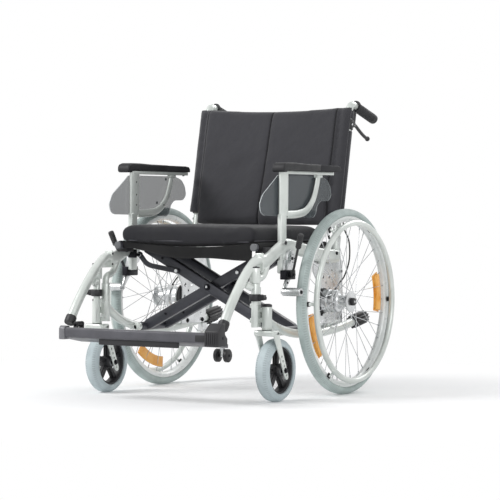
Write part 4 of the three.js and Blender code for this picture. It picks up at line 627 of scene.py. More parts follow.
def valve():
    stem = Solid()
    angle = math.radians(118)
    outer, inner = polar(WHEEL_X, 262, angle), polar(WHEEL_X, 234, angle)
    stem.rod(outer, inner.lerp(outer, 0.45), 3.4, sides=12, edge=0.5, paint=1)
    stem.rod(outer.lerp(inner, 0.5), inner, 3.9, 3.3, sides=12, edge=0.8)
    return stem


def rear_axle():
    """The quick-release axle: its black cap with the button, and the pin through hub and plate."""
    cap = [(24.4, 0), (24.4, 12.2), (25.2, 13), (31, 13), (34.6, 12.2), (36.4, 10), (36.4, 5), (35.8, 4.4),
           (35.8, 0)]
    axle = Solid().turned(cap, WHEEL, sides=32)
    axle.turned([(34, 0), (34, 3.8), (36.6, 3.8), (37.2, 3), (37.2, 0)], WHEEL, sides=20, paint=1)
    return axle.peg(264.6, 382, (0, WHEEL_Z), 6.35, sides=20, edge=0.8, paint=1)


def drum_brake():
    """The drum with its black anchor plate against the axle plate."""
    centre, bolts = (0, 0, WHEEL_Z), 10
    drum = Solid()
    drum.turned([(280, 6.75), (280, 36.8), (282, 38), (303, 38), (305, 37), (306, 35.4), (308, 37),
                 (310, 38), (327, 38), (329.6, 36), (329.6, 24), (328, 22), (328, 6.75), (280, 6.75)],
                centre, sides=64)
    drum.turned([(273.4, 6.75), (273.4, 40.6), (274.6, 42), (278, 42), (279.4, 41), (279.4, 36),
                 (280.6, 35.5), (280.6, 6.75), (273.4, 6.75)], centre, sides=64, paint=1)
    for i in range(bolts):
        angle = TAU * i / bolts
        drum.rod(polar(284, 37, angle), polar(300, 37, angle), 2.2, sides=8, edge=0.4)
    drum.rod((320, 0, WHEEL_Z + 33), (320, 0, WHEEL_Z + 41), 4, sides=12, edge=0.6, paint=1)
    return drum


pair("rear_tyre", rear_tyre, REAR_RUBBER, "rear_wheel_{}", "tyre_grey", ["rear_tyre_{}"])
pair("rear_wheel", rear_wheel, [RIM_PAINT, BRIGHT, SPOKE], "rear_wheel_{}", "bright_metal",
     ["rear_wheel_{}"])
pair("hand_rim", hand_rim, [FRAME_PAINT, BLACK, BLACK_STEEL], "rear_wheel_{}", "frame_paint",
     ["hand_rim_{}"])
pair("tyre_valve", valve, [BLACK, BRIGHT], "rear_wheel_{}", "black_plastic")
pair("rear_axle", rear_axle, [BLACK, BRIGHT], "{}_frame", "bright_metal", ["rear_axle_{}"])
pair("drum_brake", drum_brake, [BRIGHT, BLACK], "{}_frame", "black_plastic", ["drum_brake_{}"])


# Axle plates. The bolts at these (y, z) tie plate and frame.
PLATE_BOLTS = ((15, 222), (110, 222), (-30, 436), (28, 436))


def axle_plate():
    """The perforated plate with its rows of axle holes, smaller holes and bolts."""
    low_x, high_x, pitch = 268.0, 273.0, 40
    outline = ((-20, 212), (120, 212), (134, 226), (134, 432), (120, 446), (-50, 446), (-64, 432),
               (-64, 402), (-20, 349), (-20, 226))
    plate = Solid().plate(low_x, high_x - low_x, outline, 1.2)
    holes = Solid()
    for row in range(4):
        for column in range(3):
            y, z = column * pitch, WHEEL_Z + (row - 1) * pitch
            radius = 6.75 if (row, column) == (1, 0) else 6.5
            holes.peg(low_x - 4, high_x + 4, (y, z), radius, sides=28)
    for y, z in ((20, 245), (20, 285), (20, 325), (20, 365), (60, 285), (60, 325), (60, 365), (100, 245),
                 (100, 285), (100, 325), (-4, 405), (60, 405)):
        holes.peg(low_x - 4, high_x + 4, (y, z), 4, sides=20)
    plate.carve(holes)
    for y, z in PLATE_BOLTS:
        for start, out in ((low_x, -1), (high_x, 1)) if z > 400 else ((low_x, -1),):
            plate.peg(start - out * 0.5, start + out * 1.2, (y, z), 8, sides=24, edge=0.3, paint=1)
        plate.peg(low_x - 4.6, low_x + 0.5, (y, z), 5.6, sides=6, edge=0.7, paint=1)
    for y, z in ((124, 300), (124, 400), (-10, 260)):
        for out, start in ((-1, low_x), (1, high_x)):
            plate.peg(start - out * 0.5, start + out * 3.4, (y, z), 5, sides=6, edge=0.7, paint=1)
    return plate


pair("axle_plate", axle_plate, [BRIGHT, BLACK_STEEL], "{}_frame", "bright_metal", ["axle_plate_{}"], 30)

# Casters.
CASTER = Vector((CASTER_X, CASTER_Y, CASTER_Z))


def caster_tyre():
    half = [(0, 100), (8, 99.6), (14, 97.6), (19.5, 93), (23.6, 86), (25, 80), (24, 76.5), (21.5, 74.4)]
    return Solid().turned(mirrored_ring(half), CASTER, sides=96)


def caster_hub():
    """The black hub: rim, barrel and five ribbed spokes, with a grey bearing cap on each side."""
    spokes, root, reach = 5, 17, 68
    hub = Solid()
    rim = [(-17.6, 68.4), (-17.6, 73), (-16.8, 74), (16.8, 74), (17.6, 73), (17.6, 68.4), (15, 66.6),
           (4, 66), (-4, 66), (-15, 66.6), (-17.6, 68.4)]
    hub.turned(rim, CASTER, sides=72)
    core = [(-22, 6.5), (-22, 15), (-20.5, 17), (-12, 20), (12, 20), (20.5, 17), (22, 15), (22, 6.5),
            (-22, 6.5)]
    hub.turned(core, CASTER, sides=40)
    for i in range(spokes):
        spoke = Solid()
        spoke.block((-4, -8, root), (4, 8, reach), 2.2)
        for rib_x in (-7, 7):
            spoke.block((rib_x - 2, -6.5, root), (rib_x + 2, 6.5, reach), 1.2)
        turn = Matrix.Translation(CASTER) @ Matrix.Rotation(TAU * i / spokes, 4, "X")
        bmesh.ops.transform(spoke.mesh, matrix=turn, verts=spoke.mesh.verts)
        hub.join(spoke.mesh)
    for out in (-1, 1):
        cap = [(19.5, 6.5), (19.5, 14.6), (21.6, 14.6), (22.6, 13), (22.6, 6.5), (19.5, 6.5)]
        hub.turned([(out * along_axis, radius) for along_axis, radius in cap], CASTER, sides=32, paint=1)
    return hub


def caster_fork():
    """Two tapered legs with the axle holes, the crown, the stem and the axle with its nuts."""
    leg_offset, hole_pitch, holes_in_leg, axle_hole = 33, 17, 5, 3
    fork = Solid()
    head = Vector((0, STEM_Y, 219))
    axle = Vector((0, CASTER_Y, CASTER_Z))
    down = (axle - Vector((0, STEM_Y, 210))).normalized()
    flat = Vector((0, -down.z, down.y))
    foot = axle + down * hole_pitch
    knee = head.lerp(foot, 0.35)
    toe = foot + down * 15
    outline = [head + flat * 15, knee + flat * 12.5, foot + flat * 10.8, foot + down * 10 + flat * 8,
               toe + flat * 3.6, toe - flat * 3.6, foot + down * 10 - flat * 8, foot - flat * 10.8,
               knee - flat * 12.5, head - flat * 15]
    holes = Solid()
    for out in (-1, 1):
        low_x = CASTER_X + out * leg_offset - 3
        fork.slab([(low_x, p.y, p.z) for p in outline], (6, 0, 0), 1.8, segments=3)
        for number in range(holes_in_leg):
            spot = axle + down * (number - axle_hole) * hole_pitch
            if number != axle_hole:
                holes.peg(low_x - 4, low_x + 10, (spot.y, spot.z), 4, sides=20)
    fork.carve(holes)
    fork.block((CASTER_X - 36, STEM_Y - 22, 210), (CASTER_X + 36, STEM_Y + 22, 228), 5.5, segments=4)
    fork.rod((CASTER_X, STEM_Y, 216), (CASTER_X, STEM_Y, 296), 9, sides=24, edge=1)
    fork.turned([(0, 9), (0, 15.4), (1.5, 15.6), (1.7, 9), (0, 9)], (CASTER_X, STEM_Y, 228.1), (0, 0, 1),
                36, 1)
    for out in (-1, 1):
        for near, far, radius, sides, edge in ((23, 30.5, 8.5, 24, 0.8), (35.5, 37, 9, 24, 0.4),
                                               (36.5, 42, 7, 6, 0.8)):
            fork.rod(CASTER + Vector((out * near, 0, 0)), CASTER + Vector((out * far, 0, 0)), radius,
                     sides=sides, edge=edge, paint=1)
    return fork.rod(CASTER - Vector((37, 0, 0)), CASTER + Vector((37, 0, 0)), 6, sides=20, paint=1)


def caster_cap():
    cap = [(0, 0), (0, 15.2), (1.2, 16), (5, 16), (7.6, 14), (9, 9), (9.4, 0)]
    return Solid().turned(cap, (CASTER_X, STEM_Y, 302.1), (0, 0, 1), 36)


pair("caster_tyre", caster_tyre, CASTER_RUBBER, "caster_wheel_{}", "tyre_grey", ["caster_tyre_{}"])
pair("caster_hub", caster_hub, [BLACK, GREY_CAP], "caster_wheel_{}", "black_plastic", ["caster_hub_{}"])
pair("caster_fork", caster_fork, [FRAME_PAINT, BLACK_STEEL], "caster_fork_{}", "frame_paint",
     ["caster_fork_{}"], 34)
pair("caster_cap", caster_cap, BLACK, "{}_frame", "black_plastic")

# Side frames.
LEG_Y = -431.0
ARCH = along(((0, 0), (0.06, 0.01), (0.17, 0.5), (0.3, 1), (0.5, 0.68), (0.76, 0.3), (1, 0.2)),
             FRAME_X, -427, 497, 441, 54)
LOWER = along(((0, 1), (0.12, 0.44), (0.3, 0.1), (0.54, 0), (0.78, 0.16), (1, 0.47)),
              LOWER_X, -444, 676, 199, 87)
LOWER_SLOPE = (LOWER[-1].z - LOWER[-2].z) / (LOWER[-1].y - LOWER[-2].y)
STEP_Z = LOWER[-1].z + (STEP_Y - LOWER[-1].y) * LOWER_SLOPE
LEG = along(((0, 0), (0.13, -0.01), (0.36, 0.17), (0.55, 0.375), (0.735, 0.6), (0.893, 0.82), (1, 1)),
            FRAME_X, LEG_Y, -215, 446, -192)


def weld(solid, start, end, radius, bead=1.8):
    """A weld bead round a tube that lands on another."""
    start, end = Vector(start), Vector(end)
    ring = [(bead * math.cos(TAU * k / 8), radius + bead * math.sin(TAU * k / 8)) for k in range(8)]
    return solid.turned(ring + [ring[0]], start, end - start, 32)


def frame_tubes():
    """The welded tubes of a side, its hanger post, caster housing and the rod the cross brace turns on."""
    tubes = Solid()
    tubes.swept(route(ARCH, 34), 12, 23, sides=28)
    tubes.swept(route(LOWER, 55), 14, sides=28)
    tubes.rod((FRAME_X, UPRIGHT_Y, 238), (FRAME_X, UPRIGHT_Y, 362), 14, sides=28, edge=1)
    bridge = ((UPRIGHT_Y, 348), (UPRIGHT_Y, 386), (-410, 394), (-382, 448))
    tubes.swept(route([(FRAME_X, y, z) for y, z in bridge], 36), 11, sides=24)
    tubes.rod((CANE_X, cane_y(452), 452), (CANE_X, cane_y(520), 520), 16, sides=28, edge=1.2)
    for y, z in PLATE_BOLTS:
        tubes.peg(273.4, FRAME_X, (y, z), 8, sides=24, edge=0.6)
    tubes.rod((POST_X, POST_Y, 238), (POST_X, POST_Y, 376), 11, sides=24, edge=1.2)
    tubes.rod((POST_X, POST_Y, 370), (POST_X, POST_Y, 409), 8, sides=24, edge=1.5)
    for z in (252, 298):
        tubes.block((281, POST_Y, z), (306, UPRIGHT_Y, z + 14), 2.5)
    tubes.rod((CASTER_X, STEM_Y, 230), (CASTER_X, STEM_Y, 302), 16, sides=32, edge=1.2)
    for z in (252, 284):
        tubes.block((287, -458, z), (312, -436, z + 14), 2.5)
    weld(tubes, (FRAME_X, UPRIGHT_Y, 239.5), (FRAME_X, UPRIGHT_Y, 260), 14)
    weld(tubes, (FRAME_X, UPRIGHT_Y, 360), (FRAME_X, UPRIGHT_Y, 366), 12.4)
    weld(tubes, (FRAME_X, LEG_Y, 441), (FRAME_X, -420, 441), 13)
    weld(tubes, (289, cane_y(216), 216), (288.6, cane_y(226), 226), 16)
    for y in (-306.3, -121.7):
        tubes.rod((PIVOT_X, y, PIVOT_Z), (PIVOT_X, y + 16, PIVOT_Z), 13, sides=28, edge=1.2)
        tubes.block((PIVOT_X, y, PIVOT_Z - 10), (LOWER_X, y + 16, PIVOT_Z + 5), 2)
    tubes.rod((PIVOT_X, -300, PIVOT_Z), (PIVOT_X, -115, PIVOT_Z), 7, sides=20, edge=0.8)
    return tubes


def frame_fittings():
    """Saddles for the seat rails, the socket of the armrest and the pin of the brace link."""
    parts = Solid()
    for y in (-372, -30):
        saddle = Solid().block((246, y - 22, 464), (286, y + 22, RAIL_Z), 2.5)
        saddle.carve(Solid().rod((RAIL_X, y - 40, RAIL_Z), (RAIL_X, y + 40, RAIL_Z), 12.4, sides=36))
        saddle.rod((250, y - 12, 465), (250, y - 12, 462.6), 3.6, sides=6, edge=0.4, paint=2)
        parts.join(saddle.mesh)
    socket = Solid()
    socket.block((278.9, -323, 474), (302.5, -252, 532), 3.4, segments=3)
    socket.block((278.2, -324.5, 524), (303.3, -250.5, 532.4), 2)
    socket.carve(Solid().block((278.1, -314.4, 440), (295.9, -260.6, 560), 5))
    for face in socket.mesh.faces:
        face.material_index = 1
    socket.peg(302, 306, (-300, 500), 6.5, sides=24, edge=1.4)
    parts.join(socket.mesh)
    parts.rod((PIVOT_X, -320, LINK_PIN_Z), (PIVOT_X, LINK_Y + 7, LINK_PIN_Z), 5, sides=20, edge=0.8, paint=2)
    parts.block((256, -325, 443), (FRAME_X, -315.9, 471), 2, paint=2)
    return parts


def brake_bracket():
    """The clamp on the upper member, its neck and the body that carries lever and shoe."""
    low_x, screws = 293.5, 5
    bracket = Solid()
    bracket.block((low_x, -319, 383), (314, -253, 413), 2.4, paint=1)
    bracket.block((low_x, -306, LEVER_Z), (305.5, -258, 446), 2.0)
    body = [(low_x, 0), (low_x, 25), (295.1, 28), (303.4, 28), (305.4, 26.5), (306, 20), (307, 18), (307, 0)]
    bracket.turned(body, (0, BRAKE_Y, BRAKE_Z), (1, 0, 0), 48)
    for k in range(screws):
        spot = polar(305.4, 13, TAU * k / screws, BRAKE_Y, BRAKE_Z)
        bracket.rod(spot, spot + Vector((1.9, 0, 0)), 2.4, sides=12, edge=0.4, paint=2)
    bracket.peg(305, 309.4, (BRAKE_Y, BRAKE_Z), 5.4, sides=6, edge=0.6, paint=2)
    bracket.peg(308, 328, (LEVER_Y, LEVER_Z), 4, sides=16, edge=0.6, paint=2)
    for y in (-310, -262):
        bracket.peg(313, 317, (y, LEVER_Z), 4.6, sides=6, edge=0.6, paint=2)
    return bracket


def frame_bolts():
    """Round-headed bolts along the outer face of the upper member."""
    face_x = 298.0
    bolts = Solid()
    for y, z in ((46, 462), (-34, 458), (-120, 467)):
        bolts.peg(face_x, face_x + 1.9, (y, z), 6.4, sides=24, edge=0.3)
        bolts.peg(face_x, face_x + 4.4, (y, z), 4.4, sides=20, edge=1.2)
    return bolts


pair("frame_tubes", frame_tubes, FRAME_PAINT, "{}_frame", "frame_paint", ["side_frame_{}"], 34)
pair("frame_fittings", frame_fittings, [BLACK, WHITE_PLASTIC, BLACK_STEEL], "{}_frame", "black_plastic")
pair("brake_bracket", brake_bracket, [BRIGHT, BLACK_STEEL, BLACK_STEEL], "{}_frame", "bright_metal")
pair("frame_bolts", frame_bolts, BLACK_STEEL, "{}_frame", "black_plastic")


def step_cap():
    """The fluted cap that slips over the rear end of the lower tube."""
    flutes, radius, flute_depth = 12, 20.4, 2.6
    part = bmesh.new()
    ring = bmesh.ops.create_circle(part, cap_ends=False, segments=96, radius=1)["verts"]
    for vert in ring:
        vert.co *= radius + flute_depth * math.cos(flutes * math.atan2(vert.co.y, vert.co.x))
    heights = ((0, 0.94), (2, 1), (86, 1), (90, 0.93), (92, 0.8))
    loops = [part.edges[:]]
    base = [vert.co.copy() for vert in ring]
    for vert, spot in zip(ring, base):
        vert.co = spot * heights[0][1]
    for height, share in heights[1:]:
        grown = bmesh.ops.extrude_edge_only(part, edges=loops[-1])["geom"]
        loops.append([item for item in grown if isinstance(item, bmesh.types.BMEdge)])
        for vert in [item for item in grown if isinstance(item, bmesh.types.BMVert)]:
            angle = math.atan2(vert.co.y, vert.co.x)
            nearest = min(base, key=lambda spot: (math.atan2(spot.y, spot.x) - angle) ** 2)
            vert.co = Vector((nearest.x * share, nearest.y * share, height))
    bmesh.ops.contextual_create(part, geom=loops[0])
    bmesh.ops.contextual_create(part, geom=loops[-1])
    bmesh.ops.recalc_face_normals(part, faces=part.faces)
    turn = Vector((0, 1, LOWER_SLOPE)).normalized().to_track_quat("Z", "Y").to_matrix().to_4x4()
    place = Matrix.Translation((LOWER_X, STEP_Y, STEP_Z))
    bmesh.ops.transform(part, matrix=place @ turn, verts=part.verts)
    return Solid().take(part)


pair("step_cap", step_cap, BLACK, "{}_frame", "black_plastic", ["step_cap_{}"], 40)

# Back canes with their handles.
CANE_RUN = Vector((0, CANE_LEAN, 1)).normalized()
CORNER = Vector((CANE_X, cane_y(966), 966))
HANDLE_RUN = Vector((0, 1, -0.29)).normalized()
HANDLE_END = CORNER + HANDLE_RUN * 175


def back_cane():
    """The bent tube with the collar at its foot and two bolts."""
    cane = Solid()
    cane.swept(route([(CANE_X, cane_y(520.9), 520.9), CORNER, HANDLE_END], 30, 3), CANE_RADIUS, sides=28)
    cane.turned([(-7, 12.4), (-7, 14.6), (-6, 15.4), (3, 15.4), (4, 14.6), (4, 12.4), (-7, 12.4)],
                (CANE_X, cane_y(532), 532), CANE_RUN, 32)
    for z in (548, 572):
        cane.peg(291, 294.6, (cane_y(z), z), 4.6, sides=20, edge=1.2, paint=1)
    return cane


def push_grip():
    """The rubber grip: a collar, a row of ribs and a rounded end."""
    ribs, pitch = 17, 6.4
    profile = [(0, 12.9), (0, 19.5), (1.4, 20.6), (4.4, 20.6), (6, 19)]
    for k in range(ribs):
        at = 8 + k * pitch
        profile += [(at, 16.1), (at + 1.2, 16.9), (at + 4.2, 16.9), (at + 5.4, 16.1)]
    profile += [(116, 17), (136, 17), (139.4, 16.4), (143, 14), (145, 9), (145.3, 0), (139.2, 0),
                (139.2, 12.9), (0, 12.9)]
    return Solid().turned(profile, CORNER + HANDLE_RUN * 36, HANDLE_RUN, 40)


CLAMP_Z = 893.0
CLAMP_Y = cane_y(CLAMP_Z)
CABLE_Y = CLAMP_Y + 18.5
PIN_Y = CLAMP_Y + 31.5


def lever_clamp():
    """The clamp round the cane: two cheeks for the lever's pin, a stop and the cable's socket."""
    clamp = Solid()
    clamp.turned([(-17, 13), (-17, 17.5), (-15.6, 18.5), (15.6, 18.5), (17, 17.5), (17, 13), (-17, 13)],
                 (CANE_X, CLAMP_Y, CLAMP_Z), CANE_RUN, 40)
    cheek = ((CLAMP_Y + 14, CLAMP_Z - 11), (CLAMP_Y + 14, CLAMP_Z + 11), (PIN_Y + 4, CLAMP_Z + 9),
             (PIN_Y + 11, CLAMP_Z + 2), (PIN_Y + 9, CLAMP_Z - 8))
    for out in (-1, 1):
        clamp.plate(CANE_X + out * 5.6, out * 3, cheek, 1.1)
    top = CLAMP_Z + 45
    stop = ((CLAMP_Y + 12.8, CLAMP_Z - 4), (CLAMP_Y + 31, CLAMP_Z - 4), (CLAMP_Y + 33, CLAMP_Z + 4),
            (cane_y(top) + 32.8, top), (cane_y(top) + 22, top))
    clamp.plate(CANE_X - 12, 24, stop, 3.6, segments=3)
    clamp.peg(269.4, 288.6, (PIN_Y, CLAMP_Z), 4, sides=16, edge=0.8, paint=1)
    clamp.block((272, CLAMP_Y + 12, CLAMP_Z - 12), (286, CLAMP_Y + 24, CLAMP_Z + 12), 2.6)
    for low, high, radius, sides, edge, paint in ((24, 8, 4.4, 20, 0.8, 0), (30, 22, 3.3, 6, 0.4, 1)):
        clamp.rod((CANE_X, CABLE_Y, CLAMP_Z - low), (CANE_X, CABLE_Y, CLAMP_Z - high), radius,
                  sides=sides, edge=edge, paint=paint)
    clamp.peg(292, 299, (CLAMP_Y - 3, CLAMP_Z), 4, sides=6, edge=0.6, paint=1)
    return clamp


def attendant_lever():
    """The hand lever: an eye on its pin, a flowing blade and a ball at the tip."""
    lever = Solid()
    tip = Vector((CANE_X, PIN_Y + 108, CLAMP_Z - 44))
    blade = [(CANE_X, PIN_Y + behind, CLAMP_Z + rise)
             for behind, rise in ((-3, 1), (20, -2), (52, -20), (84, -36))]
    lever.swept(flowing(blade + [tip], 8), 4.8, 6.2, sides=20)
    lever.peg(274.4, 283.6, (PIN_Y, CLAMP_Z), 7.4, sides=28, edge=0.8)
    ball = bmesh.new()
    bmesh.ops.create_uvsphere(ball, u_segments=28, v_segments=16, radius=8.5, matrix=Matrix.Translation(tip))
    return lever.take(ball)


def cable_path():
    """From the clamp down behind the cane to the drum; shares are (down, outward, behind, toward it)."""
    top, bottom = 882.0, 344.2
    shares = ((0.152, -0.07, 0.89, 1), (0.338, -0.095, 0.926, 1), (0.524, 0, 0.926, 1), (0.627, 0.286, 1, 1),
              (0.71, 0.81, 1.1, 1), (0.822, 1, 1.096, 1), (0.919, 1, 1, 0.759), (0.963, 1, 1, 0.323),
              (1, 1, 1, 0))
    points = [(CANE_X, CABLE_Y, top), (CANE_X, CABLE_Y, top - 20.4)]
    for down, out, behind, reach in shares:
        z = top + (bottom - top) * down
        points.append((CANE_X + 42 * out, (cane_y(z) + 27 * behind) * reach, z))
    return flowing(points, 8)


def brake_cable():
    return Solid().swept(cable_path(), 2.5, sides=12)


pair("back_cane", back_cane, [FRAME_PAINT, BLACK_STEEL], "{}_frame", "frame_paint", ["back_cane_{}"])
pair("push_grip", push_grip, PAD_BLACK, "{}_frame", "pad_foam", ["push_grip_{}"], 32)
pair("lever_clamp", lever_clamp, [BLACK, BRIGHT], "{}_frame", "black_plastic", ["lever_clamp_{}"])
pair("attendant_lever", attendant_lever, BLACK, "attendant_lever_{}", "black_plastic",
     ["attendant_lever_{}"])
pair("brake_cable", brake_cable, SHEATH, "{}_frame", "cable_sheath", ["brake_cable_{}"])

# Cross brace: two arms, a seat rail and a lower sleeve on each body.
BOLT_Z = PIVOT_Z + (RAIL_Z - PIVOT_Z) * PIVOT_X / (PIVOT_X + RAIL_X)


def cross_arm(sign, ys):
    """The two bars of an arm with their bolts, the seat rail on top and the sleeve at the foot."""
    brace = Solid()
    low, high = Vector((sign * PIVOT_X, 0, PIVOT_Z)), Vector((-sign * RAIL_X, 0, RAIL_Z))
    run = (high - low).normalized()
    across_arm = Vector((-run.z, 0, run.x))
    end = high - run * 9
    outline = [low + run * 13 + across_arm * 17, end - run * 12 + across_arm * 17, end + across_arm * 6,
               end - across_arm * 15, end - run * 9 - across_arm * 17, low + run * 13 - across_arm * 17,
               low - across_arm * 12.4, low + across_arm * 12.4]
    for y in ys:
        brace.slab([(p.x, y - 11, p.z) for p in outline], (0, 22, 0), 2.6, segments=3)
        for share in (0.16, 0.84):
            spot = low.lerp(high, share)
            for face in (-11, 11):
                brace.rod((spot.x, y + face * 0.98, spot.z), (spot.x, y + face * 1.22, spot.z), 4.4,
                          sides=20, edge=1, paint=2)
        brace.turned([(-11.4, 0), (-11.4, 14.5), (-11.1, 15), (11.1, 15), (11.4, 14.5), (11.4, 0)],
                     (0, y, BOLT_Z), (0, 1, 0), 32)
    brace.rod((high.x, RAIL_FRONT, RAIL_Z), (high.x, RAIL_REAR, RAIL_Z), 12, sides=28, edge=1.2, paint=1)
    for y, out in ((RAIL_FRONT, -1), (RAIL_REAR, 1)):
        brace.turned([(0, 0), (0, 12.2), (3.4, 12.2), (5, 10.8), (5.4, 0)], (high.x, y, RAIL_Z),
                     (0, out, 0), 28, 3)
    return brace.rod((low.x, -290, PIVOT_Z), (low.x, -122, PIVOT_Z), 14, sides=28, edge=1.2)


def cross_bolt():
    """The bolt through both arms, with a washer and a hexagon at each end."""
    bolt = Solid().rod((0, -291.3, BOLT_Z), (0, -122.7, BOLT_Z), 7, sides=20)
    for y, out in ((-285.3, -1), (-127.7, 1)):
        bolt.turned([(0, 7), (0, 11.4), (1.4, 11.4), (1.4, 7), (0, 7)], (0, y, BOLT_Z), (0, out, 0), 32)
        bolt.rod((0, y + out * 1.2, BOLT_Z), (0, y + out * 6.4, BOLT_Z), 8.4, sides=6, edge=1.2)
        bolt.rod((0, y + out * 6.2, BOLT_Z), (0, y + out * 7.2, BOLT_Z), 3.6, sides=20, edge=0.4, paint=1)
    return bolt


ARM_FINISHES = [BRACE_PAINT, BRACE_PAINT, BLACK_STEEL, GREY_CAP]
for side, sign, ys in (("left", 1, (-274, -164)), ("right", -1, (-249, -139))):
    piece(f"cross_arm_{side}", cross_arm(sign, ys), ARM_FINISHES, f"cross_arm_{side}",
          [f"cross_arm_{side}"])
piece("cross_bolt", cross_bolt(), [BLACK_STEEL, BRIGHT], "cross_arm_left", ["cross_bolt"])


def brace_link():
    """The bent flat bar with an eye at each end; a ring stands for the head round the frame's pin."""
    thick = 5
    middle_y = LINK_Y + thick / 2
    elbow_x = PIVOT_X - (PIVOT_X - LINK_EYE_X) * 0.2
    elbow_z = LINK_PIN_Z - (LINK_PIN_Z - LINK_EYE_Z) * 0.66
    bends = ((257.5, 447.7), (elbow_x, elbow_z), (LINK_EYE_X, LINK_EYE_Z))
    path = route([(x, middle_y, z) for x, z in bends], 26, 4)
    link = Solid().swept(path, 2.5, 8, sides=4, side=(0, 1, 0), square=True)
    for x, z, radius in ((PIVOT_X, LINK_PIN_Z, 10), (LINK_EYE_X, LINK_EYE_Z, 9.5)):
        link.turned([(0, 5.3), (0, radius - 0.8), (0.8, radius), (thick - 0.8, radius),
                     (thick, radius - 0.8), (thick, 5.3), (0, 5.3)], (x, LINK_Y, z), (0, 1, 0), 32)
    link.turned([(-3.4, 5.3), (-3.4, 5.6), (-2.6, 6.4), (1, 6.4), (1, 5.3), (-3.4, 5.3)],
                (PIVOT_X, LINK_Y, LINK_PIN_Z), (0, 1, 0), 32, 1)
    return link.rod((LINK_EYE_X, LINK_Y - 3.4, LINK_EYE_Z), (LINK_EYE_X, LINK_Y + 1, LINK_EYE_Z), 6.4,
                    sides=20, edge=1.4, paint=1)


pair("brace_link", brace_link, [BRACE_PAINT, BRIGHT], "brace_link_{}", "brace_paint", ["brace_link_{}"], 30)

# Leg rests.
def legrest_tube():
    """The bent tube with its catch plate, the sleeve over the hanger post and the stop."""
    leg = Solid()
    leg.swept(route(LEG, 40), 15, sides=28)
    leg.block((272, -438, 413), (302, -431, 469), 2.2, segments=3)
    leg.plate(282, 10, ((-434, 413), (-434, 462), (-459, 447), (-508, 413), (-501, 413)), 1.2)
    leg.rod((POST_X, POST_Y, 376.4), (POST_X, POST_Y, 424), 17, sides=32, edge=2)
    leg.turned([(0, 0), (0, 15.5), (1.6, 16), (3.4, 14), (4.2, 8), (4.4, 0)], (POST_X, POST_Y, 424),
               (0, 0, 1), 32, 1)
    leg.rod((287, -519, 372), (296.5, -498, 361), 11, sides=24, edge=1.2)
    for y, z in ((-436, 424), (-436, 458)):
        leg.peg(272.4, 270, (y, z), 3.6, sides=16, edge=0.8, paint=1)
    return leg


def legrest_latch():
    """The ring round the post with its ribbed thumb piece."""
    latch = Solid()
    latch.turned([(0, 11.6), (0, 17.2), (1.2, 18), (20.8, 18), (22, 17.2), (22, 11.6), (0, 11.6)],
                 (POST_X, POST_Y, 320), (0, 0, 1), 36)
    thumb = ((314, 341), (326, 341.5), (340, 334), (340, 326), (326, 322), (314, 321))
    latch.slab([(x, -492, z) for x, z in thumb], (0, 16, 0), 2.2, segments=3)
    for x in (322, 328, 334):
        latch.block((x, -493, 324), (x + 2.4, -475, 340), 0.8)
    return latch


FOOT = LEG[-1]
FOOT_RUN = (LEG[-1] - LEG[-2]).normalized()


def collar():
    """The closed cap on the tube's foot, with three raised rings."""
    ring = Solid()
    ring.turned([(-8, 15.4), (-8, 16.4), (-7, 17.2), (16, 17.2), (19, 15.4), (19, 0), (0.6, 0), (0.6, 15.4),
                 (-8, 15.4)], FOOT, FOOT_RUN, 40)
    for low in (-3, 3, 9):
        high = low + 2.6
        ring.turned([(low, 16.8), (low, 17.7), (high, 17.7), (high, 16.8), (low, 16.8)], FOOT, FOOT_RUN, 40)
    return ring


pair("legrest_collar", collar, BLACK, "legrest_{}", "black_plastic", ["legrest_collar_{}"])
pair("legrest_tube", legrest_tube, [FRAME_PAINT, BLACK], "legrest_{}", "frame_paint",
     ["legrest_tube_{}"], 34)
pair("legrest_latch", legrest_latch, BLACK, "legrest_latch_{}", "black_plastic", ["legrest_latch_{}"])

lug = Solid()
lug.block((-287, -652, 233.2), (HINGE_X, -634, 242.8), 1.6)
lug.turned([(-652, 4.5), (-652, 7.2), (-651, 8), (-635, 8), (-634, 7.2), (-634, 4.5), (-652, 4.5)],
           (HINGE_X, 0, HINGE_Z), (0, 1, 0), 28)
piece("hinge_lug", lug, BLACK, "legrest_right")


# Footboard.
def footboard():
    """The tray with its raised front lip, the ribs on top, the bar below, the hinge at its right end, and a
    black strip of painted shade on the front near its left end.
    """
    board = Solid()
    outline = ((-700, 200.8), (-695, 196), (-578, 176.5), (-578, 188.5), (-586, 190), (-688, 206),
               (-690.4, 228), (-695, 228), (-700, 223.2))
    board.plate(-294, 556, outline, 1.4, segments=2)
    lip = ((-699.4, 223), (-694.6, 228.6), (-688, 228.6), (-688, 224), (-692, 222))
    board.plate(-292, 552, lip, 0.8, paint=1)
    for k in range(17):
        y = -680 + k * 6
        z = 206 - (y + 688) * 16 / 102
        board.block((-284, y, z - 1), (252, y + 2.6, z + 0.9), 0.6)
    board.block((-148, -690, 177.2), (148, -680, 199), 2.0, paint=2)
    for start in (-662.5, -632.5):
        board.block((-266, start, 196), (-250, start + 9, HINGE_Z), 1.8, paint=2)
        board.rod((HINGE_X, start, HINGE_Z), (HINGE_X, start + 9, HINGE_Z), 8, sides=28, edge=0.9, paint=2)
    board.rod((HINGE_X, -664, HINGE_Z), (HINGE_X, -622, HINGE_Z), 4, sides=20, edge=0.8, paint=3)
    end = ((-702, 190), (-668, 190), (-668, 212), (-672, 232), (-694, 234), (-702, 226))
    board.plate(-294.4, 22, end, 2.4, paint=1)
    # The black strip on the front face near the left end is painted shade standing in for a recess there.
    return board.block((218, -701.6, 200), (261, -698, 221), 1.2, paint=2)


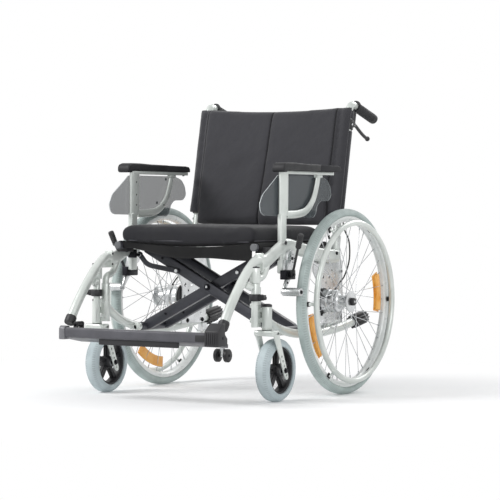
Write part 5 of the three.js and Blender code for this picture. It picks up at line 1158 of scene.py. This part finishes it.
def footboard_latch():
    """The black catch at the board's left end, its front ribbed."""
    latch = Solid()
    low_x, high_x = 262.3, 312.3
    outline = ((-719.4, 188), (-663.4, 188), (-663.4, 212), (-677, 224.8), (-677, 258), (-690, 258),
               (-719.4, 234.4))
    latch.plate(low_x, high_x - low_x, outline, 2.6, segments=3)
    for k in range(6):
        x = low_x + 5 + k * 7.4
        latch.block((x, -721, 194), (x + 3.6, -716, 230), 1.0)
    return latch.peg(high_x - 1, high_x + 0.6, (-690, 214), 5, sides=24, edge=0.4, paint=1)


piece("footboard", footboard(), [BOARD_PAINT, BOARD_EDGE, BLACK, BLACK_STEEL], "footboard",
      ["footboard"])
piece("footboard_latch", footboard_latch(), [BLACK, BLACK_STEEL], "footboard",
      ["footboard_latch"])


# Armrests.
def armrest_frame():
    """The oval post in its square foot, the flat bar below the pad and the bent brace between them."""
    arm = Solid()
    oval = [(ARM_X + 8.5 * math.cos(TAU * k / 36), ARM_POST_Y + 26.5 * math.sin(TAU * k / 36))
            for k in range(36)]
    arm.slab([(x, y, 586) for x, y in oval], (0, 0, 143))
    arm.block((278.9, -313.6, 402), (295.1, -278.4, 592), 4.5, segments=4)
    arm.plate(278.5, 17, ((-305, 720), (-305, 731), (30, 731), (30, 720)), 2)
    bends = ((-62, 717.8), (-74, 680), (-97, 637), (-140, 604), (-195, 592), (-267, 590))
    curve = flowing([(ARM_X, y, z) for y, z in bends], 40)
    arm.swept(curve, 5.1, 13, sides=20)
    arm.block((280, -80, 711), (294, -44, 720.4), 2)
    point = curve[len(curve) // 2]
    arm.peg(ARM_X - 6.2, ARM_X - 4.6, (point.y, point.z), 2.6, sides=16, edge=0.6, paint=1)
    for z in (618, 652, 694):
        arm.peg(278.2, 279.2, (ARM_POST_Y, z), 2.8, sides=16, edge=0.2, paint=2)
    for y in (-290, -60, 12):
        arm.rod((ARM_X, y, 720.4), (ARM_X, y, 717.6), 4.2, sides=16, edge=0.9, paint=1)
    return arm


def pad_shape(rear):
    """Foam pad over the bar; the glossy front part is thicker at its nose and drops over the bar's end."""
    if rear:
        outline = ((-102, 731.3), (-102, 752.3), (14, 751.4), (31, 749.2), (38, 742), (38, 731.3))
    else:
        outline = ((-333, 725.3), (-338.8, 727.6), (-341, 734), (-339.8, 744.5), (-334, 751.6),
                   (-318, 756.4), (-272, 756.6), (-200, 754.2), (-100, 752.9), (-100, 731.3),
                   (-314, 731.3), (-319, 725.3))
    pad = Solid().plate(274, 46, outline)
    edges = [e for e in pad.mesh.edges if abs(e.verts[0].co.x - e.verts[1].co.x) < 1]
    bmesh.ops.bevel(pad.mesh, geom=edges, offset=4.6, segments=5, profile=0.5, affect="EDGES", material=-1,
                    clamp_overlap=True)
    for face in pad.mesh.faces:
        face.smooth = True
    return pad


def side_panel(inner):
    """The clear panel below an arm pad: a face, a paler rim and its edge."""
    shares = ((0.248, 1), (0.041, 0.536), (0, 0.318), (0.018, 0.127), (0.06, 0.055), (0.438, 0.038),
              (0.74, 0), (0.781, 0.1), (0.794, 0.282), (0.84, 0.398), (0.958, 0.407), (1, 0.53),
              (0.985, 0.745), (0.938, 0.912), (0.873, 0.978), (0.74, 1))
    part = bmesh.new()
    part.faces.new([part.verts.new(point) for point in along(shares, inner, -422, 466, 579, 137.5)])
    bmesh.ops.bevel(part, geom=part.verts[:], offset=9, segments=4, profile=0.5, affect="VERTICES",
                    material=-1)
    rims = set(bmesh.ops.inset_region(part, faces=part.faces[:], thickness=2.6, depth=0)["faces"])
    for face in part.faces:
        face.material_index = 1 if face in rims else 0
    grown = bmesh.ops.extrude_face_region(part, geom=part.faces[:])
    bmesh.ops.translate(part, vec=(3, 0, 0),
                        verts=[v for v in grown["geom"] if isinstance(v, bmesh.types.BMVert)])
    bmesh.ops.recalc_face_normals(part, faces=part.faces)
    for face in part.faces:
        if abs(face.normal.x) < 0.5:
            face.material_index = 1
    return Solid().join(part)


def panel_screws(face_x):
    screws = Solid()
    for y, z in ((-287, 706), (-287, 620), (-78, 706), (-132, 626)):
        screws.peg(face_x, face_x - 2.6, (y, z), 4.6, sides=20, edge=1.1)
    return screws


pair("armrest_frame", armrest_frame, [FRAME_PAINT, BLACK_STEEL, BLACK_STEEL], "armrest_{}", "frame_paint",
     ["armrest_frame_{}"], 34)
pads = pair("arm_pad_front", lambda: pad_shape(False), PAD_BLACK, "armrest_{}", "pad_foam",
            ["arm_pad_{}"], 50)
pads += pair("arm_pad_rear", lambda: pad_shape(True), PAD_DULL, "armrest_{}", "pad_foam", [], 50)
for side, inner, screw_face in (("left", 275.2, 275.4), ("right", -298.8, -298.6)):
    piece(f"clear_panel_{side}", side_panel(inner), [SMOKE, SMOKE_EDGE], f"armrest_{side}",
          [f"side_panel_{side}"])
    piece(f"panel_screws_{side}", panel_screws(screw_face), BLACK, f"armrest_{side}")


# Parking brakes.
def brake_lever():
    """The flat blade on its pivot and the ribbed round handle."""
    ribs, pitch = 6, 6.2
    base, top = Vector((321, LEVER_Y, LEVER_Z)), Vector((356, -306, 500))
    run = (top - base).normalized()
    start = top - run * 18
    lever = Solid().swept([base, base.lerp(start, 0.5), start + run * 4], 3.2, 6.4, sides=16)
    lever.peg(314.9, 325, (LEVER_Y, LEVER_Z), 10.4, sides=28, edge=1)
    grip = [(0, 0), (0, 7.6), (1.2, 8.4)]
    for k in range(ribs):
        spot = 4 + k * pitch
        foot, crest = 8.6 + k * 0.18, 9.6 + k * 0.08
        grip += [(spot, foot), (spot + 1, crest), (spot + 3.8, crest), (spot + 4.8, foot)]
    grip += [(43, 10), (47, 9.4), (50, 6.6), (51, 0)]
    return lever.turned(grip, start, run, 32)


def brake_shoe():
    """The knurled bar that presses on the tyre, with its bolt and the arm that carries it."""
    y, z = -323, 345
    shoe = Solid()
    shoe.turned([(309, 0), (309, 12), (310.2, 13), (373.8, 13), (375, 12), (375, 0)], (0, y, z), sides=32)
    for x in (333, 341, 349, 357, 365):
        shoe.turned([(x, 12.6), (x, 13.5), (x + 3, 13.5), (x + 3, 12.6), (x, 12.6)], (0, y, z), sides=32)
    shoe.peg(374.6, 378, (y, z), 6.2, sides=6, edge=0.8, paint=1)
    arm = ((-329, 345), (-317, 345), (-280, 382.7), (-310, 382.7))
    shoe.plate(305.4, 6, arm, 1.2)
    shoe.block((303, -330, 338), (311, -316, 352), 1.6)
    for bolt_y, bolt_z in ((-316, 356), (-300, 373)):
        shoe.peg(310, 312.8, (bolt_y, bolt_z), 4, sides=6, edge=0.5, paint=1)
    return shoe


pair("brake_lever", brake_lever, BLACK, "brake_lever_{}", "black_plastic", ["brake_lever_{}"])
pair("brake_shoe", brake_shoe, [BRIGHT, BLACK_STEEL], "brake_shoe_{}", "bright_metal", ["brake_shoe_{}"])

# Anti-tip wheels behind the sitter's right step tube.
TIP_X, TIP_Y, TIP_Z = -LOWER_X, 284, 86
SOCKET_Y, SOCKET_DROP, TUBE_DROP = 134.5, 13.3, 34.5


def below(y, drop):
    """A point below the right step tube."""
    return Vector((-LOWER_X, y, STEP_Z + (y - STEP_Y) * LOWER_SLOPE - drop))


def anti_tip_tube():
    """The bent tube under the step tube, its socket and the snap buttons."""
    tube = Solid()
    tube.swept(route([below(SOCKET_Y, TUBE_DROP), below(274, TUBE_DROP), (TIP_X, TIP_Y, 110),
                      (TIP_X, TIP_Y, 80)], 24, 3), 10, sides=24)
    socket_top = below(SOCKET_Y, SOCKET_DROP).z
    tube.block((TIP_X - 10, SOCKET_Y, socket_top - 17.3), (TIP_X + 10, SOCKET_Y + 30, socket_top), 2)
    for share in (0.35, 0.6, 0.85):
        x, y, z = below(SOCKET_Y + 100 * share, TUBE_DROP)
        tube.peg(x - 10.4, x - 9.4, (y, z), 3, sides=12, edge=0.2, paint=1)
    return tube.peg(TIP_X - 10.8, TIP_X - 12.2, (TIP_Y, TIP_Z), 6, sides=16, edge=0.4, paint=1)


def anti_tip_wheels():
    """Two small wheels on one axle, either side of the tube."""
    rollers = Solid()
    for out in (-1, 1):
        near, far = out * 12, out * 28
        rollers.turned([(near, 0), (near, 14), (near + out, 17), (near + out, 21), (near + out * 3, 24),
                        (far - out * 3, 24), (far - out, 21), (far - out, 17), (far, 14), (far, 0)],
                       (TIP_X, TIP_Y, TIP_Z), sides=40)
        rollers.peg(TIP_X + far, TIP_X + far + out * 2.5, (TIP_Y, TIP_Z), 5, sides=6, edge=0.6, paint=1)
    return rollers.peg(TIP_X - 14, TIP_X + 14, (TIP_Y, TIP_Z), 4, sides=16)


piece("anti_tip_tube", anti_tip_tube(), [BRIGHT, BLACK_STEEL], "right_frame",
      ["anti_tip_tube"])
piece("anti_tip_wheels", anti_tip_wheels(), [BLACK, BLACK_STEEL], "anti_tip_wheels",
      ["anti_tip_wheels"])

# Soft goods. The back's seams lie this far from its middle.
SEAM_X = 252.0


def upholstery_nylon():
    """The back's woven nylon: sewn seams at the middle and beside the bands, their grooves painted dark as
    painted shade, and long faint creases.
    """
    f = Finish("upholstery_nylon", 0.84, specular=0.25)
    f.shader.inputs["Sheen Weight"].default_value = 0.2
    f.shader.inputs["Sheen Roughness"].default_value = 0.5
    spot = f.place()
    out, up = abs(f.axis(spot, 0)), f.axis(spot, 2)
    weave = ((f.axis(spot, 0) * 1500).sine() * (up * 1500).sine()) * 0.5 + 0.5
    blotch = f.ramp(f.cloud(spot, 6, 4, 0.6), 0.3, 0.75)
    cloth = f.blend(blotch * 0.7 + weave * 0.3, linear(51, 51, 55), linear(64, 64, 68))
    nearest = out.smaller(abs(out - SEAM_X * MM))
    # The seam grooves are painted dark as painted shade; the rows of stitch holes beside them are painted
    # dark too.
    seam_groove_shade = f.ramp(nearest, 0.0034, 0.0012)
    holes = f.ramp((up * 1250).sine(), 0.1, 0.6) * f.ramp(abs(nearest - 0.0045), 0.0011, 0.0003)
    f.drive("Base Color", f.blend(seam_groove_shade * 0.8 + holes * 0.5, cloth, linear(20, 20, 23)))
    f.drive("Roughness", f.ramp(blotch, 0, 1, 0.78, 0.9))
    slanted = f.cloud(f.place(scale=(1.0, 1, 0.34), turn=(0, 0.75, 0)), 12, 3, 0.55)
    small = f.cloud(f.place(scale=(1, 1, 0.6), turn=(0, -0.5, 0)), 34, 2)
    return f.relief(slanted + small * 0.35 + weave * 0.04 - seam_groove_shade * 0.35, 0.006, 0.9).material


UPHOLSTERY = upholstery_nylon()


def padded_skin(columns, rows, top, bottom):
    """A closed skin: an even grid and its copy, each laid on a surface given over a unit square."""
    part = bmesh.new()
    bmesh.ops.create_grid(part, x_segments=columns, y_segments=rows, size=0.5)
    grown = bmesh.ops.extrude_face_region(part, geom=part.faces[:])["geom"]
    upper = {item for item in grown if isinstance(item, bmesh.types.BMVert)}
    for vert in part.verts:
        surface = top if vert in upper else bottom
        vert.co = Vector(surface(vert.co.x + 0.5, vert.co.y + 0.5))
    bmesh.ops.recalc_face_normals(part, faces=part.faces)
    return part


def filled(part, voxel, pressure, cap):
    """Remeshes a padded form and fills it by a cloth simulation, up to the cap; its width stays."""
    width = max(vert.co.x for vert in part.verts)
    held = bpy.data.meshes.new("padding")
    bmesh.ops.transform(part, matrix=Matrix.Scale(MM, 4), verts=part.verts)
    part.to_mesh(held)
    part.free()
    thing = bpy.data.objects.new("padding", held)
    bpy.context.scene.collection.objects.link(thing)
    even = thing.modifiers.new("even", "REMESH")
    even.mode = "VOXEL"
    even.voxel_size = voxel * MM
    thing.data = bpy.data.meshes.new_from_object(thing.evaluated_get(bpy.context.evaluated_depsgraph_get()))
    thing.modifiers.clear()
    cloth = thing.modifiers.new("fill", "CLOTH").settings
    cloth.quality = 6
    cloth.mass = 0.25
    cloth.use_pressure = True
    cloth.uniform_pressure_force = pressure
    cloth.effector_weights.gravity = 0
    cloth.tension_stiffness = 18
    cloth.compression_stiffness = 18
    cloth.shear_stiffness = 9
    cloth.bending_stiffness = 0.6
    for number in range(1, 21):
        bpy.context.scene.frame_set(number)
    blown = bpy.data.meshes.new_from_object(thing.evaluated_get(bpy.context.evaluated_depsgraph_get()))
    thing.modifiers.clear()
    for still, moved in zip(thing.data.vertices, blown.vertices):
        step = moved.co - still.co
        still.co += step * min(1.0, cap * MM / max(step.length, 1e-9))
    bpy.context.scene.frame_set(1)
    soft = bmesh.new()
    soft.from_mesh(thing.data)
    bpy.data.objects.remove(thing)
    bmesh.ops.transform(soft, matrix=Matrix.Scale(1 / MM, 4), verts=soft.verts)
    for _ in range(3):
        bmesh.ops.smooth_vert(soft, verts=soft.verts, factor=0.5, use_axis_x=True, use_axis_y=True,
                              use_axis_z=True)
    bmesh.ops.subdivide_edges(soft, edges=soft.edges, cuts=1, use_grid_fill=True, smooth=0.0)
    bmesh.ops.smooth_vert(soft, verts=soft.verts, factor=0.5, use_axis_x=True, use_axis_y=True,
                          use_axis_z=True)
    spread = width / max(vert.co.x for vert in soft.verts)
    for vert in soft.verts:
        vert.co.x *= spread
    return soft


def eased(value, start, end):
    share = min(1.0, max(0.0, (value - start) / (end - start)))
    return share * share * (3 - 2 * share)


# Back upholstery: a padded panel between two bands that are sewn round the canes.
BACK_HALF, BACK_TOP, BACK_FOOT, BAND_FOOT = 297.0, 957.0, 548.0, 590.0
CANE_INNER = CANE_X - CANE_RADIUS


def back_rise(x, t):
    """The height at a share t of the back's rise, and how much it arches between the canes there."""
    arch = max(0.0, 1 - (x / CANE_INNER) ** 2)
    foot = BACK_FOOT + (BAND_FOOT - BACK_FOOT) * eased(abs(x), SEAM_X - 5, SEAM_X + 3)
    return foot + (BACK_TOP - 12 * arch - foot) * t, arch


def back_skin(front):
    def surface(s, t):
        u = 2 * s - 1
        x = BACK_HALF * u
        z, arch = back_rise(x, t)
        rear = cane_y(z) - 14.5 + arch * (12 - 32 * (1 - t))
        if not front:
            return x, rear, z
        edge = max(0.0, (max(abs(u), abs(2 * t - 1)) - 0.955) / 0.045)
        band = eased(abs(x), SEAM_X - 4, SEAM_X + 4)
        depth = 27 * (1 - band) + 17 * band * math.sqrt(max(0.05, 1 - ((abs(x) - 274) / 26) ** 2))
        pull = 5.0 * math.exp(-(x / 7) ** 2) + 4.0 * math.exp(-((abs(x) - SEAM_X) / 6) ** 2)
        crease = 2.2 * noise.noise(Vector((x * 0.006 + z * 0.004, z * 0.0035 - x * 0.003, 2.0)))
        return x, rear - max(5.0, depth - pull - 7 * edge ** 2 + crease), z

    return surface


back = filled(padded_skin(72, 48, back_skin(True), back_skin(False)), 6, 3.0, 6)
for vert in back.verts:
    x, y, z = vert.co
    sag = max(0.0, 1 - (x / CANE_INNER) ** 2) * (1 - (z - BACK_FOOT) / (BACK_TOP - BACK_FOOT))
    if y < cane_y(z) - 18 - 20 * sag:
        dent = 3.4 * math.exp(-(x / 3.6) ** 2) + 3.0 * math.exp(-((abs(x) - SEAM_X) / 3.4) ** 2)
        folds = noise.noise(Vector((x * 0.011 + z * 0.009, 0.5, z * 0.006 - x * 0.004)))
        ripple = noise.noise(Vector((x * 0.03 - z * 0.012, 4.5, z * 0.022)))
        vert.co.y += dent + 2.4 * folds + 0.9 * ripple
back_solid = Solid().take(back)
for sign in (-1, 1):
    run = (870 - BAND_FOOT) / CANE_RUN.z
    for start, length in ((BAND_FOOT, run), (913.0, 26.0)):
        back_solid.turned([(0, 13.2), (0, 16.4), (1.2, 17.3), (length - 1.2, 17.3), (length, 16.4),
                           (length, 13.2), (0, 13.2)], (sign * CANE_X, cane_y(start), start), CANE_RUN, 40)
upholstery = piece("back_cover", back_solid, UPHOLSTERY, "left_frame", ["back_upholstery"], 60)
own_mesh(upholstery)


# Seat cushion: crowned, its sides drawn in and rounded, lying on the sling.
def sling_top(x):
    """The height of the sling, which sags between the rails."""
    return 501.3 - 14 * max(0.0, 1 - (x / RAIL_X) ** 2)


CUSHION_Y, CUSHION_DEPTH = -204.5, 217.0


def cushion_plan(u, v, shrink=0.0):
    corner = 6 * (abs(u) ** 8) * (abs(v) ** 8)
    waist_x = 2 * (1 - v * v) * abs(u)
    waist_y = 2 * (1 - u * u) * abs(v)
    return (u * (257 - corner - waist_x - shrink),
            CUSHION_Y + v * (CUSHION_DEPTH - corner - waist_y - shrink))


def cushion_skin(top):
    def surface(s, t):
        u, v = 2 * s - 1, 2 * t - 1
        x, y = cushion_plan(u, v)
        edge = max(0.0, (max(abs(u), abs(v)) - 0.93) / 0.07)
        roll = 1 - math.sqrt(max(0.0, 1 - edge ** 2))
        if top:
            crown = 3 * (1 - u * u) * (1 - v * v)
            dimple = 1.6 * noise.noise(Vector((x * 0.008, y * 0.008, 1.0)))
            return x, y, 546.5 + crown + dimple - 13 * roll
        return x, y, sling_top(x) + 1.2 + 5 * roll

    return surface


cushion = filled(padded_skin(52, 44, cushion_skin(True), cushion_skin(False)), 6, 3.5, 7)
for vert in cushion.verts:
    x, y, z = vert.co
    low = sling_top(x) + 0.6
    if z < low + 3:
        vert.co.z = max(z, low)
    droop = eased(y, -415, -422) * (1 - eased(z, low + 7, low + 22))
    vert.co.z -= 12 * droop
    front = eased(y, -402, -416)
    wave = noise.noise(Vector((x * 0.012, y * 0.006, z * 0.03)))
    wave += 0.4 * noise.noise(Vector((x * 0.035, 1.5, z * 0.05)))
    vert.co.y += front * 1.6 * wave
    vert.co.y = max(vert.co.y, -426.5)
    vert.co.z += 0.8 * wave * eased(z, 530, 545)
cushion_tree = bvhtree.BVHTree.FromBMesh(cushion)
cushion_solid = Solid().take(cushion)


def piping(height, radius):
    """A welt laid on the cushion's skin a little above its lower edge, which hangs lower at the front."""
    around = []
    for i in range(240):
        angle = TAU * i / 240
        u, v = math.cos(angle), math.sin(angle)
        reach = max(abs(u), abs(v))
        x, y = cushion_plan(u / reach, v / reach, -14)
        z = sling_top(min(abs(x), RAIL_X)) + height - 11 * eased(y, -400, -428)
        inward = Vector((-x * 0.15, CUSHION_Y - y, 0)) if abs(v) > abs(u) else Vector((-x, 0, 0))
        hit = cushion_tree.ray_cast(Vector((x, y, z)), inward.normalized())[0]
        if hit:
            around.append(hit - inward.normalized() * radius * 0.3)
    return around + around[:1]


# The welt's pale grey is a painted highlight along the cushion's lower edge.
cushion_solid.swept(piping(4.5, 1.9), 1.9, sides=8, side=(0, 0, 1), paint=1)
seat_pad = piece("seat_pad", cushion_solid, [SEAT_NYLON, WELT_PAINTED_HIGHLIGHT], "cross_arm_right",
                 ["seat_cushion"], 60)
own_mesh(seat_pad)


# Seat sling: stretched from rail to rail and lapped over them, with a hem that hangs at the front.
def sling():
    """A sheet whose profile holds (x, z) and the outward direction at each point, lapped over the rails."""
    lap, steps, lapped_radius = 7, 40, 13.2
    round_rail = []
    for k in range(lap):
        angle = math.radians(-60 + 150 * k / (lap - 1))
        nx, nz = -math.cos(angle), math.sin(angle)
        round_rail.append((-RAIL_X + lapped_radius * nx, RAIL_Z + lapped_radius * nz, nx, nz))
    middle = []
    for k in range(1, steps):
        x = -RAIL_X + 2 * RAIL_X * k / steps
        middle.append((x, sling_top(x) - 2.2, 0, 1))
    profile = round_rail + middle + [(-x, z, -nx, nz) for x, z, nx, nz in reversed(round_rail)]
    part = bmesh.new()
    bmesh.ops.create_grid(part, x_segments=len(profile) - 1, y_segments=40, size=0.5)
    grown = bmesh.ops.extrude_face_region(part, geom=part.faces[:])["geom"]
    upper = {item for item in grown if isinstance(item, bmesh.types.BMVert)}
    for vert in part.verts:
        x, z, nx, nz = profile[round((vert.co.x + 0.5) * (len(profile) - 1))]
        t = vert.co.y + 0.5
        lift = 1.5 if vert in upper else 0.0
        vert.co = Vector((x + nx * lift, -411 + 447 * t, z + nz * lift))
    bmesh.ops.recalc_face_normals(part, faces=part.faces)
    return Solid().take(part)


def sling_hem():
    """The doubled front edge: deepest toward the sitter's left, waved and slightly open at its foot."""
    def foot(x):
        return 446 + 28 * eased(x, 20, -235) + 3 * math.sin(x * 0.021)

    def side(front):
        def surface(s, t):
            x = -246 + 492 * s
            top = sling_top(x) - 3
            z = top + (foot(x) - top) * t
            wave = 2.2 * math.sin(x * 0.018 + 0.6) * t + 1.2 * noise.noise(Vector((x * 0.02, 3.0, z * 0.02)))
            thick = 1.5 + 1.4 * eased(t, 0.86, 1.0)
            return x, -412.5 + wave - (thick if front else -thick), z
        return surface

    return Solid().take(padded_skin(90, 10, side(True), side(False)))


cover = piece("sling_cover", sling(), BAND_NYLON, "cross_arm_right", ["seat_sling"], 50)
hem = piece("sling_hem", sling_hem(), BAND_NYLON, "cross_arm_right", (), 50)
for thing in (cover, hem):
    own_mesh(thing)

# Light and floor.
world = bpy.data.worlds.new("studio")
bpy.context.scene.world = world
world.use_nodes = True
studio = world.node_tree
surround = studio.nodes["Background"]
surround.inputs["Color"].default_value = (1, 1, 1, 1)
surround.inputs["Strength"].default_value = 0.45
backdrop = studio.nodes.new("ShaderNodeBackground")
backdrop.inputs["Color"].default_value = (1, 1, 1, 1)
backdrop.inputs["Strength"].default_value = 1.0
ray = studio.nodes.new("ShaderNodeLightPath")
seen = ray.outputs["Is Camera Ray"]
for kind in ("Is Glossy Ray", "Is Transmission Ray"):
    either = studio.nodes.new("ShaderNodeMath")
    either.operation = "MAXIMUM"
    studio.links.new(seen, either.inputs[0])
    studio.links.new(ray.outputs[kind], either.inputs[1])
    seen = either.outputs[0]
choice = studio.nodes.new("ShaderNodeMixShader")
for number, socket in enumerate((seen, surround.outputs[0], backdrop.outputs[0])):
    studio.links.new(socket, choice.inputs[number])
studio.links.new(choice.outputs[0], studio.nodes["World Output"].inputs[0])


def lamp(name, place, size, power):
    """A square lamp that faces the middle of the chair."""
    light = bpy.data.lights.new(name, "AREA")
    light.size = size
    light.energy = power
    thing = bpy.data.objects.new(name, light)
    thing.location = place
    thing.rotation_euler = (Vector((0, 0, 0.5)) - Vector(place)).to_track_quat("-Z", "Y").to_euler()
    bpy.context.scene.collection.objects.link(thing)


lamp("key", (-2.6, -3.2, 3.4), 2.0, 160)
lamp("fill", (3.8, -2.4, 2.2), 2.4, 55)
lamp("rim", (0.6, 3.4, 3.0), 2.4, 70)

floor_mesh = bpy.data.meshes.new("floor")
ground = bmesh.new()
bmesh.ops.create_grid(ground, x_segments=2, y_segments=2, size=12)
ground.to_mesh(floor_mesh)
ground.free()
floor = bpy.data.objects.new("floor", floor_mesh)
bpy.context.scene.collection.objects.link(floor)
floor_finish = Finish("floor_finish", 0.6, specular=0.0)
spot = floor_finish.place()
tone = floor_finish.ramp(floor_finish.cloud(spot, 2), 0.3, 0.7)
floor_x, floor_y = floor_finish.axis(spot, 0), floor_finish.axis(spot, 1)
far = floor_finish.ramp((floor_x * floor_x + floor_y * floor_y).root(), 0.75, 1.7)
near = floor_finish.blend(tone, linear(244, 245, 246), linear(247, 247, 248))
floor_finish.drive("Base Color", floor_finish.blend(far, near, (0, 0, 0, 1)))
floor_finish.drive("Emission Color", floor_finish.blend(far, (0.1, 0.1, 0.1, 1), (1, 1, 1, 1)))
floor_finish.shader.inputs["Emission Strength"].default_value = 1.0
floor.data.materials.append(floor_finish.material)
bpy.context.scene.view_settings.view_transform = "Standard"
